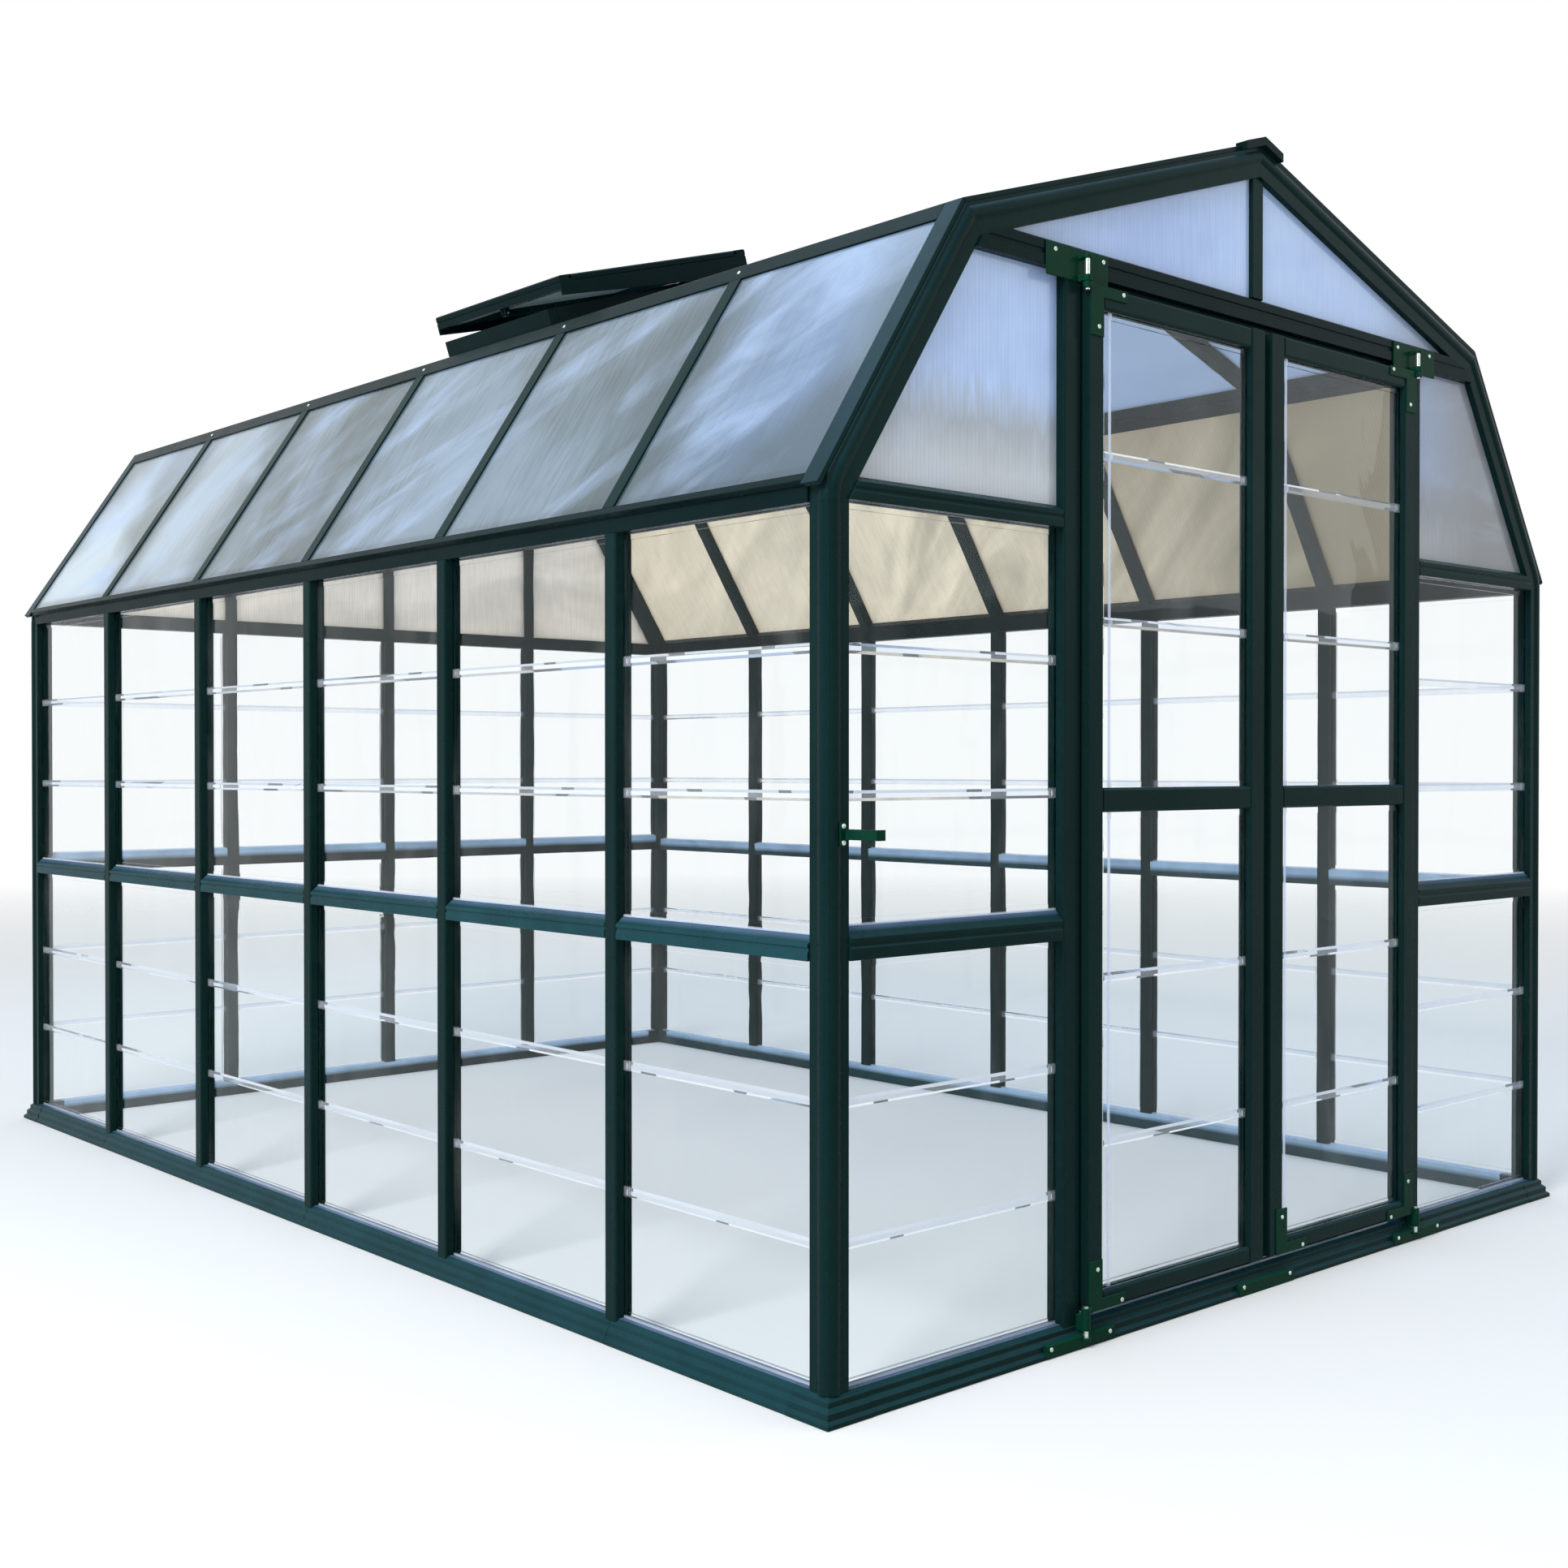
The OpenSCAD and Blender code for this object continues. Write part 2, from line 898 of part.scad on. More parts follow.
module ridge_cap() {
  intersection() {
    union() {
      along_y(hl - cap_back, hl + cap_out)
        difference() {
          polygon(gable_pts(-cap_up));
          polygon(gable_pts(cap_d));
        }
      along_y(hl - cap_run, hl - cap_back)
        difference() {
          polygon(gable_pts(-cap_up));
          polygon(gable_pts(0));
        }
    }
    translate([-cap_half, 0, ridge_z - big / 2])
      cube([2 * cap_half, big, big]);
  }
}

module ridge_end_caps() {
  color(frame_green)
    for (e = [-1, 1])
      end(e)
        ridge_cap();
}

// Gable walls

// Rail across a gable bay, cut to the gable rafter where it reaches it
module gable_rail(x0, x1, z, h, drop) {
  intersection() {
    translate([0, hl, z])
      along_x(x0, x1)
        rail_section(h, drop);
    along_y(0, big)
      polygon(gable_pts(gable_rafter_w + seam));
  }
}

module front_eave_rails() {
  color(frame_green)
    end(-1)
      for (s = [-1, 1])
        side(s)
          gable_rail(jamb_x + jamb_w, side_in, eave_rail_z + eave_rail_h / 2, eave_rail_h, eave_rail_h / 4);
}

module front_mid_rails() {
  color(frame_green)
    end(-1)
      for (s = [-1, 1])
        side(s)
          gable_rail(jamb_x + jamb_w, side_in, gable_rail_z, gable_rail_h, gable_rail_h / 3);
}

module head_beam() {
  z = head_z + head_beam_h / 2;
  intersection() {
    translate([0, hl, z])
      along_x(-hw, hw)
        rail_section(head_beam_h, head_slope);
    along_y(0, big)
      polygon(gable_pts(gable_rafter_w + seam));
  }
}

module front_head_beam() {
  color(frame_green)
    end(-1)
      head_beam();
}

module back_head_beam() {
  color(frame_green)
    head_beam();
}

module mullion() {
  intersection() {
    translate([0, hl, head_z + head_beam_h])
      linear_extrude(ridge_z)
        rotate(90)
          post_section(mullion_w, -mullion_recess);
    along_y(0, big)
      polygon(gable_pts(gable_rafter_w + seam));
  }
}

module front_mullion() {
  color(frame_green)
    end(-1)
      mullion();
}

module back_mullion() {
  color(frame_green)
    mullion();
}

// Upright of a gable between the base rail and the head beam
module gable_upright(x, w) {
  difference() {
    translate([x, hl, base_shoulder])
      linear_extrude(head_z - base_shoulder)
        rotate(90)
          post_section(w, 0);
    translate([x, hl, 0])
      along_x(-w, w)
        base_fill(0, member_d + eps);
  }
}

module door_jambs() {
  color(frame_green)
    end(-1)
      for (s = [-1, 1])
        side(s)
          gable_upright(jamb_x + jamb_w / 2, jamb_w);
}

// Strips behind the edges of the leaves, on the jambs and under the head beam
module door_stops() {
  d = member_d - leaf_t + leaf_proud - stop_gap;
  x = jamb_x - stop_w;
  color(frame_green)
    end(-1) {
      for (s = [-1, 1])
        side(s)
          translate([x, hl - member_d, base_h])
            cube([stop_w, d, head_z - base_h]);
      translate([seam - x, hl - member_d, head_z - stop_drop])
        cube([2 * (x - seam), d, stop_drop]);
    }
}

module back_posts() {
  color(frame_green)
    for (x = [-jamb_x, 0, jamb_x])
      gable_upright(x, post_w);
}

module back_rails(z, h, drop) {
  half = post_w / 2;
  for (s = [-1, 1])
    side(s) {
      gable_rail(half, jamb_x - half, z, h, drop);
      gable_rail(jamb_x + half, side_in, z, h, drop);
    }
}

module back_eave_rails() {
  color(frame_green)
    back_rails(eave_rail_z + eave_rail_h / 2, eave_rail_h, eave_rail_h / 4);
}

module back_mid_rails() {
  color(frame_green)
    back_rails(gable_rail_z, gable_rail_h, gable_rail_h / 3);
}

// Connectors at the doorway

// Lug round the pivot axis, drawn with the outside of the gable towards +Y
module pivot_lug(z, h, reach) {
  difference() {
    union() {
      translate([pivot_x, hl + pivot_out, z])
        cylinder(h = h, r = lug_r);
      translate([pivot_x - lug_r, hl + reach, z])
        cube([2 * lug_r, pivot_out - reach, h]);
    }
    translate([pivot_x, hl + pivot_out, z - eps])
      cylinder(h = h + 2 * eps, r = pivot_r);
  }
}

module head_connector() {
  z0 = leaf_z1 + lug_gap;
  z1 = head_z + head_beam_h - head_slope - edge_play;
  translate([head_plate_x0, hl, z0])
    cube([head_plate_x1 - head_plate_x0, head_plate_t, z1 - z0]);
  pivot_lug(z0, high_cup_h, head_plate_t);
  pivot_lug(high_ring_z, ring_h, head_plate_t);
}

module head_connectors() {
  color(joint_green)
    end(-1)
      for (s = [-1, 1])
        side(s)
          head_connector();
}

// Plate on the steps of the front skirt between x0 and x1, from z0 up
module skirt_plate(x0, x1, z0) {
  o = skirt_out + base_plate_out;
  translate([0, hl, 0])
    along_x(x0, x1)
      polygon([
        [skirt_out, z0], [o, z0], [o, base_plate_z1], [step_out + base_plate_out, base_plate_z2],
        [step_out, skirt_z3], [step_out, skirt_z2], [skirt_out, skirt_z1]
      ]);
}

module base_connector() {
  difference() {
    skirt_plate(base_plate_x0, base_plate_x1, base_plate_z0);
    translate([pivot_x, hl + pivot_out, low_ring_z])
      cylinder(h = base_h, r = pivot_r);
  }
  difference() {
    union() {
      pivot_lug(low_ring_z, ring_h, pivot_out - eps);
      pivot_lug(low_cup_z, leaf_z0 - lug_gap - low_cup_z, face_out);
    }
    translate([0, hl, 0])
      along_x(pivot_x - 2 * lug_r, pivot_x + 2 * lug_r)
        base_fill(0, member_d);
  }
}

module base_connectors() {
  color(joint_green)
    end(-1)
      for (s = [-1, 1])
        side(s)
          base_connector();
}

module threshold_plate() {
  color(joint_green)
    end(-1)
      skirt_plate(-threshold_half, threshold_half, 0);
}

module pivot_pins_at(x) {
  grip = high_cup_h + pin_tip;
  translate([x, hl + pivot_out, low_ring_z])
    cylinder(h = leaf_z0 + grip - low_ring_z, r = pivot_r);
  translate([x, hl + pivot_out, leaf_z1 - grip])
    cylinder(h = high_ring_z + ring_h - leaf_z1 + grip, r = pivot_r);
}

module door_pivot_pins() {
  color(screw_tint)
    end(-1)
      for (s = [-1, 1])
        pivot_pins_at(s * pivot_x);
}

// Clip that holds the open left leaf, screwed to the left corner post of the door gable
module door_holder() {
  x0 = -holder_x - holder_w / 2;
  pad_x0 = bead_edge + seam - hw;
  color(joint_green)
    translate([0, -hl, 0]) {
      translate([x0, -strap_t, holder_z - holder_h / 2])
        cube([holder_w, strap_t, holder_h]);
      // Pad behind the strap, seated on the flange of the post
      translate([pad_x0, -strap_t, holder_z - holder_h / 2])
        cube([x0 + holder_w - pad_x0, strap_t + flange_in, holder_h]);
      translate([x0 + holder_w - strap_t, -holder_reach, holder_z - tongue_h / 2])
        cube([strap_t, holder_reach - strap_t, tongue_h]);
      translate([x0 + holder_w - strap_t, -front_reach, holder_z - tongue_h / 2])
        cube([holder_hook, strap_t, tongue_h]);
    }
}

// Clear panels

module side_panel(y0, y1, z0, z1, ribs) {
  translate([hw, y0 - wall_bite, 0])
    rotate([0, 0, 90])
      scale([1, -1, 1])
        clear_panel(y1 - y0 + 2 * wall_bite, z0 - glaze_bite, z1 + wall_bite, ribs, wall_bite, -glaze_face);
}

module wall_panels(s) {
  color(clear_tint)
    side(s)
      for (i = [0 : bays - 1]) {
        side_panel(bay_y0(i), bay_y1(i), base_h, side_rail_z - side_rail_h / 2, [low_rib_1, low_rib_2]);
        side_panel(bay_y0(i), bay_y1(i), side_rail_z + side_rail_h / 2, eave_bottom, [high_rib_1, high_rib_2]);
      }
}

module wall_panels_left() { wall_panels(-1); }
module wall_panels_right() { wall_panels(1); }

module gable_clear(x0, x1) {
  translate([x0 - wall_bite, hl, 0]) {
    clear_panel(x1 - x0 + 2 * wall_bite, base_h - glaze_bite, gable_rail_z - gable_rail_h / 2 + wall_bite,
      [low_rib_1, low_rib_2], wall_bite, -glaze_face);
    clear_panel(x1 - x0 + 2 * wall_bite, gable_rail_z + gable_rail_h / 2 - glaze_bite, eave_rail_z + wall_bite,
      [high_rib_1, high_rib_2], wall_bite, -glaze_face);
  }
}

module front_clear_panels() {
  color(clear_tint)
    end(-1)
      for (s = [-1, 1])
        side(s)
          gable_clear(jamb_x + jamb_w, side_in);
}

module back_clear_panels() {
  half = post_w / 2;
  color(clear_tint)
    for (s = [-1, 1])
      side(s) {
        gable_clear(half, jamb_x - half);
        gable_clear(jamb_x + half, side_in);
      }
}

// Twin-wall panels

// Part of the gable between x0 and x1 and between z0 and z1, let into the slots all round
module gable_twin(x0, x1, z0, z1) {
  along_y(hl - glaze_face - glaze_slot + glaze_play, hl - glaze_face)
    intersection() {
      translate([x0 - wall_bite, z0 - glaze_bite])
        square([x1 - x0 + 2 * wall_bite, z1 - z0 + glaze_bite + wall_bite]);
      polygon(gable_pts(gable_rafter_w - wall_bite));
      translate([-side_in - wall_bite, 0])
        square([2 * (side_in + wall_bite), big]);
    }
}

module gable_triangles() {
  for (s = [-1, 1])
    side(s)
      gable_twin(mullion_w / 2, hw, head_z + head_beam_h, ridge_z);
}

module front_gable_panels() {
  color(twin_tint)
    end(-1) {
      gable_triangles();
      for (s = [-1, 1])
        side(s)
          gable_twin(jamb_x + jamb_w, hw, eave_rail_z + eave_rail_h, head_z);
    }
}

module back_gable_panels() {
  half = post_w / 2;
  color(twin_tint) {
    gable_triangles();
    for (s = [-1, 1])
      side(s) {
        gable_twin(half, jamb_x - half, eave_rail_z + eave_rail_h, head_z);
        gable_twin(jamb_x + half, hw, eave_rail_z + eave_rail_h, head_z);
      }
  }
}

function roof_y0(i) = i == 0 ? -gable_in - wall_bite : post_y(i) + post_web + edge_play;
function roof_y1(i) = i == bays - 1 ? gable_in + wall_bite : post_y(i + 1) - post_web - edge_play;

module roof_sheet(i) {
  translate([-slot_in, roof_y0(i)])
    square([glaze_slot - glaze_play, roof_y1(i) - roof_y0(i)]);
}

module roof_panels(s) {
  color(twin_tint)
    side(s)
      for (i = [0 : bays - 1]) {
        along_slope(eave_pt, low_slope, eave_leg - glaze_bite, low_len - purlin_leg + wall_bite)
          roof_sheet(i);
        difference() {
          along_slope(break_pt, top_slope, purlin_leg - glaze_bite, top_len - purlin_leg + wall_bite)
            roof_sheet(i);
          if (s < 0 && i == vent_bay - 1)
            along_slope(break_pt, top_slope, hatch_t0, hatch_t1)
              translate([-2 * slot_in, hatch_y0])
                square([4 * slot_in, hatch_y1 - hatch_y0]);
        }
      }
}

module roof_panels_left() { roof_panels(-1); }
module roof_panels_right() { roof_panels(1); }

// Roof vent, drawn on the +X slope and mirrored to the -X slope

// Box over the roof: t up the slope, y along the ridge, n out of the roof plane
module roof_box(t0, t1, y0, y1, n0, n1) {
  along_slope(break_pt, top_slope, t0, t1)
    translate([n0, y0])
      square([n1 - n0, y1 - y0]);
}

// Children in the frame of the vent hinge: X out of the slope, Y along the ridge, Z up the slope
module at_vent_hinge() {
  translate([break_pt[0], 0, break_pt[1]])
    rotate([0, top_slope - 90, 0])
      translate([vent_pin_up, 0, vent_pin_t])
        children();
}

module y_rod(r, y0, y1) {
  translate([0, y1, 0])
    rotate([90, 0, 0])
      cylinder(h = y1 - y0, r = r);
}

module hinge_lug(yc, w, up, bore) {
  difference() {
    union() {
      y_rod(vent_lug_r, yc - w / 2, yc + w / 2);
      translate([min(up, 0), yc - w / 2, -vent_lug_r])
        cube([abs(up), w, 2 * vent_lug_r]);
    }
    y_rod(bore, yc - w, yc + w);
  }
}

module vent_kerb() {
  seat = -roof_lip - glaze_play;
  color(frame_green)
    side(-1) {
      roof_box(vent_t0, vent_t0 + vent_bar, kerb_y0, kerb_y1, 0, kerb_h);
      for (y = [kerb_y0, hatch_y1])
        roof_box(purlin_leg + seam, kerb_t1 - kerb_wall - seam, y, y + kerb_wall, seat, kerb_h);
      roof_box(kerb_t1 - kerb_wall, kerb_t1, kerb_y0, kerb_y1, seat, kerb_h);
      at_vent_hinge()
        for (s = [-1, 1])
          hinge_lug(flap_yc + s * hinge_pitch / 2, hinge_w, kerb_h - vent_pin_up, vent_pin_r);
    }
}

module vent_hinge_pins() {
  reach = hinge_w / 2 + hinge_slack + hinge_wing + hinge_pin_tip;
  color(screw_tint)
    side(-1)
      at_vent_hinge()
        for (s = [-1, 1])
          y_rod(vent_pin_r, flap_yc + s * hinge_pitch / 2 - reach, flap_yc + s * hinge_pitch / 2 + reach);
}

// Children in the frame of the flap: X out of its top face, Y along the ridge, Z up the slope from its low edge
module in_flap() {
  at_vent_hinge()
    rotate([0, -flap_ajar, 0])
      translate([flap_under + flap_t, 0, flap_over - flap_l])
        children();
}

module flap_box(x0, x1, y0, y1, z0, z1) {
  translate([x0, y0, z0])
    cube([x1 - x0, y1 - y0, z1 - z0]);
}

module flap_bar_section(w) {
  g = flap_groove_half;
  difference() {
    polygon([
      [-flap_t, 0], [-flap_t, w], [0, w], [0, edge_bevel], [-edge_bevel, 0],
      [-flap_t / 2 + g, 0], [-flap_t / 2 + g / 2, flap_groove], [-flap_t / 2 - g / 2, flap_groove],
      [-flap_t / 2 - g, 0]
    ]);
    rect_at(-flap_lip - glaze_slot, w - glaze_bite, glaze_slot, glaze_bite + eps);
  }
}

// Bar of the flap along the ridge, with its outer side towards lower Z
module flap_cross_bar(w) {
  translate([0, flap_y1, 0])
    rotate([90, 0, 0])
      linear_extrude(flap_y1 - flap_y0)
        flap_bar_section(w);
}

// Side bar with its outer skirt, which gets deeper towards the hinge and runs on under the cross bars
module flap_side_bar() {
  l = flap_l - 2 * flap_bar;
  top = -flap_t - seam;
  translate([0, 0, seam])
    linear_extrude(l - 2 * seam)
      flap_bar_section(flap_bar);
  along_y(0, flap_skin) {
    polygon([
      [top, -flap_bar], [-flap_t - skirt_low, -flap_bar], [-flap_t - skirt_high, l + flap_bar],
      [top, l + flap_bar]
    ]);
    rect_at(-flap_t - 2 * seam, seam, 3 * seam, l - 2 * seam);
  }
}

module vent_flap_frame() {
  color(frame_green)
    side(-1) {
      in_flap() {
        flap_cross_bar(flap_bar);
        translate([0, 0, flap_l])
          mirror([0, 0, 1])
            flap_cross_bar(flap_bar);
        translate([0, flap_y0, flap_bar])
          flap_side_bar();
        translate([0, flap_y1, flap_bar])
          mirror([0, 1, 0])
            flap_side_bar();
        for (s = [-1, 1])
          translate([0, flap_yc + s * (stay_t / 2 + hinge_slack + hinge_wing / 2), 0])
            stay_lug();
      }
      at_vent_hinge()
        rotate([0, -flap_ajar, 0])
          for (s = [-1, 1])
            for (w = [-1, 1])
              hinge_lug(flap_yc + s * hinge_pitch / 2 + w * (hinge_w / 2 + hinge_slack + hinge_wing / 2),
                hinge_wing, flap_under, vent_pin_r + pin_play);
    }
}

module at_stay_pin() {
  translate([-flap_t - stay_drop, 0, stay_in])
    children();
}

module stay_lug() {
  difference() {
    union() {
      at_stay_pin()
        y_rod(stay_lug_r, -hinge_wing / 2, hinge_wing / 2);
      translate([-flap_t - stay_drop, -hinge_wing / 2, stay_in - stay_lug_r])
        cube([stay_drop, hinge_wing, 2 * stay_lug_r]);
    }
    at_stay_pin()
      y_rod(stay_pin_r, -hinge_wing, hinge_wing);
  }
}

module vent_flap_panel() {
  in_edge = flap_bar - wall_bite;
  color(twin_tint)
    side(-1)
      in_flap()
        flap_box(-flap_lip - glaze_slot, -flap_lip - glaze_play, flap_y0 + in_edge, flap_y1 - in_edge,
          in_edge - edge_play, flap_l - in_edge);
}

module vent_stay_pin() {
  reach = stay_t / 2 + hinge_slack + hinge_wing;
  color(screw_tint)
    side(-1)
      in_flap()
        translate([0, flap_yc, 0])
          at_stay_pin()
            y_rod(stay_pin_r, -reach, reach);
}

module vent_stay() {
  color(frame_green)
    side(-1)
      in_flap()
        translate([0, flap_yc, 0])
          at_stay_pin()
            translate([0, stay_t / 2, 0])
              rotate([90, 0, 0])
                linear_extrude(stay_t)
                  difference() {
                    union() {
                      circle(stay_w / 2);
                      translate([-stay_w / 2, 0])
                        square([stay_w, stay_l]);
                      translate([0, stay_l])
                        circle(stay_w / 2);
                    }
                    circle(stay_pin_r + pin_play);
                    for (i = [1 : stay_holes])
                      translate([0, stay_l - (i - 1 / 2) * stay_hole_pitch])
                        circle(stay_hole_r);
                  }
}

// Door leaves, drawn for the right leaf with the outside of the gable towards +Y

// Stile of width w seen from above, with the slot in the edge that looks towards +X
module leaf_stile_section(w) {
  difference() {
    translate([0, leaf_y0])
      square([w, leaf_t]);
    rect_at(w - glaze_bite, leaf_proud - leaf_slot_in - glaze_slot, glaze_bite + eps, glaze_slot);
    translate([w, leaf_proud])
      rotate(45)
        square(edge_bevel * 2, center = true);
  }
}

module leaf_rail_section(h) {
  s = leaf_proud - leaf_slot_in;
  difference() {
    translate([leaf_y0, 0])
      square([leaf_t, h]);
    for (z = [-eps, h - glaze_bite])
      rect_at(s - glaze_slot, z, glaze_slot, glaze_bite + eps);
    for (z = [0, h])
      translate([leaf_proud, z])
        rotate(45)
          square(edge_bevel * 2, center = true);
  }
}

module leaf_frame(strip) {
  in0 = leaf_x0 + meet_stile_w;
  in1 = leaf_x1 - hinge_stile_w;
  mid0 = leaf_mid_z - leaf_mid_h / 2;
  translate([leaf_x0, hl, leaf_z0])
    linear_extrude(leaf_h)
      leaf_stile_section(meet_stile_w);
  translate([leaf_x1, hl, leaf_z0])
    linear_extrude(leaf_h)
      mirror([1, 0])
        leaf_stile_section(hinge_stile_w);
  for (r = [[leaf_z0, leaf_low_rail_h], [mid0, leaf_mid_h], [leaf_z1 - leaf_top_rail_h, leaf_top_rail_h]])
    translate([0, hl, r[0]])
      along_x(in0 + seam, in1 - seam)
        leaf_rail_section(r[1]);
  if (strip)
    translate([-leaf_x0 + meet_play, hl + leaf_y0 + leaf_slot_in, leaf_z0])
      cube([2 * leaf_x0 - meet_play, glaze_slot, leaf_h]);
}

module leaf_panels() {
  in0 = leaf_x0 + meet_stile_w;
  in1 = leaf_x1 - hinge_stile_w;
  mid0 = leaf_mid_z - leaf_mid_h / 2;
  mid1 = leaf_mid_z + leaf_mid_h / 2;
  out = leaf_proud - leaf_slot_in;
  third = (leaf_z1 - mid1) / 3;
  translate([in0 - wall_bite, hl, 0]) {
    clear_panel(in1 - in0 + 2 * wall_bite, leaf_z0 + leaf_low_rail_h - glaze_bite, mid0 + wall_bite,
      [mid0 - 2 * third, mid0 - third], wall_bite, out);
    clear_panel(in1 - in0 + 2 * wall_bite, mid1 - glaze_bite, leaf_z1 - leaf_top_rail_h + wall_bite,
      [mid1 + third, mid1 + 2 * third], wall_bite, out);
  }
}

// Angle bracket on a hinge corner of a leaf, with the lug that turns on the pivot pin
module leaf_bracket(low) {
  f = hl + leaf_proud;
  z0 = low ? leaf_z0 : leaf_z1 - bracket_w;
  u0 = low ? leaf_z0 : leaf_z1 - bracket_short;
  lug_z = low ? leaf_z0 : leaf_z1 - high_cup_h;
  difference() {
    union() {
      translate([leaf_x1 - bracket_long, f, z0])
        cube([bracket_long, plate_t, bracket_w]);
      translate([leaf_x1 - bracket_upright_w, f, u0])
        cube([bracket_upright_w, plate_t, bracket_short]);
      translate([leaf_x1, hl + pivot_out - lug_r + lug_step, lug_z])
        cube([pivot_x - leaf_x1, 2 * (lug_r - lug_step), high_cup_h]);
      translate([pivot_x, hl + pivot_out, lug_z])
        cylinder(h = high_cup_h, r = lug_r);
    }
    translate([pivot_x, hl + pivot_out, lug_z - eps])
      cylinder(h = high_cup_h + 2 * eps, r = pivot_r + pin_play);
    translate([leaf_x1 - lug_r, hl + leaf_y0, lug_z - eps])
      cube([lug_r, leaf_t, high_cup_h + 2 * eps]);
  }
}

// Angle bracket on the low corner of the right leaf beside the meeting strip
module meet_bracket() {
  translate([leaf_x0 + meet_in, hl + leaf_proud, leaf_z0]) {
    cube([bracket_long, plate_t, bracket_w]);
    cube([bracket_upright_w, plate_t, bracket_short]);
  }
}

module leaf_brackets() {
  leaf_bracket(true);
  leaf_bracket(false);
}

module leaf_screw(x, z) {
  translate([x, hl + leaf_proud + plate_t, z])
    rotate([-90, 0, 0])
      screw_head();
}

module leaf_screws() {
  up = bracket_short - bracket_screw_far;
  for (z = [leaf_z0 + bracket_screw_z, leaf_z1 - bracket_screw_z])
    leaf_screw(leaf_x1 - bracket_long + bracket_screw_in, z);
  for (z = [leaf_z0 + up, leaf_z1 - up])
    leaf_screw(leaf_x1 - bracket_screw_x, z);
}

module meet_screws() {
  x0 = leaf_x0 + meet_in;
  leaf_screw(x0 + bracket_upright_w / 2, leaf_z0 + bracket_short - bracket_screw_far);
  leaf_screw(x0 + bracket_long - bracket_screw_in, leaf_z0 + bracket_screw_z);
}

module door_leaf(s) {
  end(-1)
    side(s)
      children();
}

module door_left_frame() {
  color(frame_green)
    door_leaf(-1)
      leaf_frame(false);
}

module door_right_frame() {
  color(frame_green)
    door_leaf(1)
      leaf_frame(true);
}

module door_left_panels() {
  color(clear_tint)
    door_leaf(-1)
      leaf_panels();
}

module door_right_panels() {
  color(clear_tint)
    door_leaf(1)
      leaf_panels();
}

module door_left_brackets() {
  color(joint_green)
    door_leaf(-1)
      leaf_brackets();
}

module door_right_brackets() {
  color(joint_green)
    door_leaf(1) {
      leaf_brackets();
      meet_bracket();
    }
}

module door_left_screws() {
  color(screw_tint)
    door_leaf(-1)
      leaf_screws();
}

module door_right_screws() {
  color(screw_tint)
    door_leaf(1) {
      leaf_screws();
      meet_screws();
    }
}

// Screws of the frame

module roof_screws(s) {
  side(s)
    for (i = [1 : bays - 1])
      translate([break_pt[0], post_y(i), break_pt[1]])
        rotate([0, low_slope - 90, 0])
          translate([0, 0, -purlin_leg / 2])
            rotate([0, 90, 0])
              screw_head();
}

module frame_screws() {
  head_x = [head_plate_x0 + head_screw_in, head_plate_x1 - head_screw_past];
  base_x = [base_plate_x0 + base_screw_in, base_plate_x1 - base_screw_past];
  color(screw_tint)
    for (s = [-1, 1]) {
      for (x = head_x)
        front_screw(s * x, head_z + head_beam_h - head_screw_drop, head_plate_t);
      for (x = base_x)
        front_screw(s * x, base_screw_z, skirt_out + base_plate_out);
      front_screw(s * threshold_screw_x, threshold_screw_z, skirt_out + base_plate_out);
      front_screw(-holder_x, holder_z + s * holder_screw_dz, strap_t);
      roof_screws(s);
    }
}

module placed() {
  translate([0, shift_y, 0])
    children();
}

placed() base_rail_left();
placed() base_rail_right();
placed() base_rail_front();
placed() base_rail_back();
placed() corner_feet();
placed() corner_posts();
placed() wall_posts_left();
placed() wall_posts_right();
placed() mid_rails_left();
placed() mid_rails_right();
placed() eave_purlins();
placed() break_purlins();
placed() ridge_beam();
placed() ridge_end_caps();
placed() eave_knuckles();
placed() gable_rafters_front();
placed() gable_rafters_back();
placed() gable_edge_caps();
placed() roof_rafters_left();
placed() roof_rafters_right();
placed() front_eave_rails();
placed() front_mid_rails();
placed() front_head_beam();
placed() front_mullion();
placed() door_jambs();
placed() door_stops();
placed() head_connectors();
placed() base_connectors();
placed() threshold_plate();
placed() back_posts();
placed() back_eave_rails();
placed() back_mid_rails();
placed() back_head_beam();
placed() back_mullion();
placed() wall_panels_left();
placed() wall_panels_right();
placed() front_clear_panels();
placed() back_clear_panels();
placed() front_gable_panels();
placed() back_gable_panels();
placed() roof_panels_left();
placed() roof_panels_right();
placed() vent_kerb();
placed() vent_hinge_pins();
placed() door_holder();
placed() door_pivot_pins();
placed() frame_screws();
placed() door_left_frame();
placed() door_left_panels();
placed() door_left_brackets();
placed() door_left_screws();
placed() door_right_frame();
placed() door_right_panels();
placed() door_right_brackets();
placed() door_right_screws();
placed() vent_flap_frame();
placed() vent_flap_panel();
placed() vent_stay_pin();
placed() vent_stay();
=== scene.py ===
"""Looks of the greenhouse: resin frame, clear and twin-wall sheets, screw heads, floor, light and camera.

Lengths are in metres, except that the screw heads are drawn in millimetres. Colours are linear RGB."""
import json
import math
import random

import bmesh
import bpy
from mathutils import Matrix, Vector


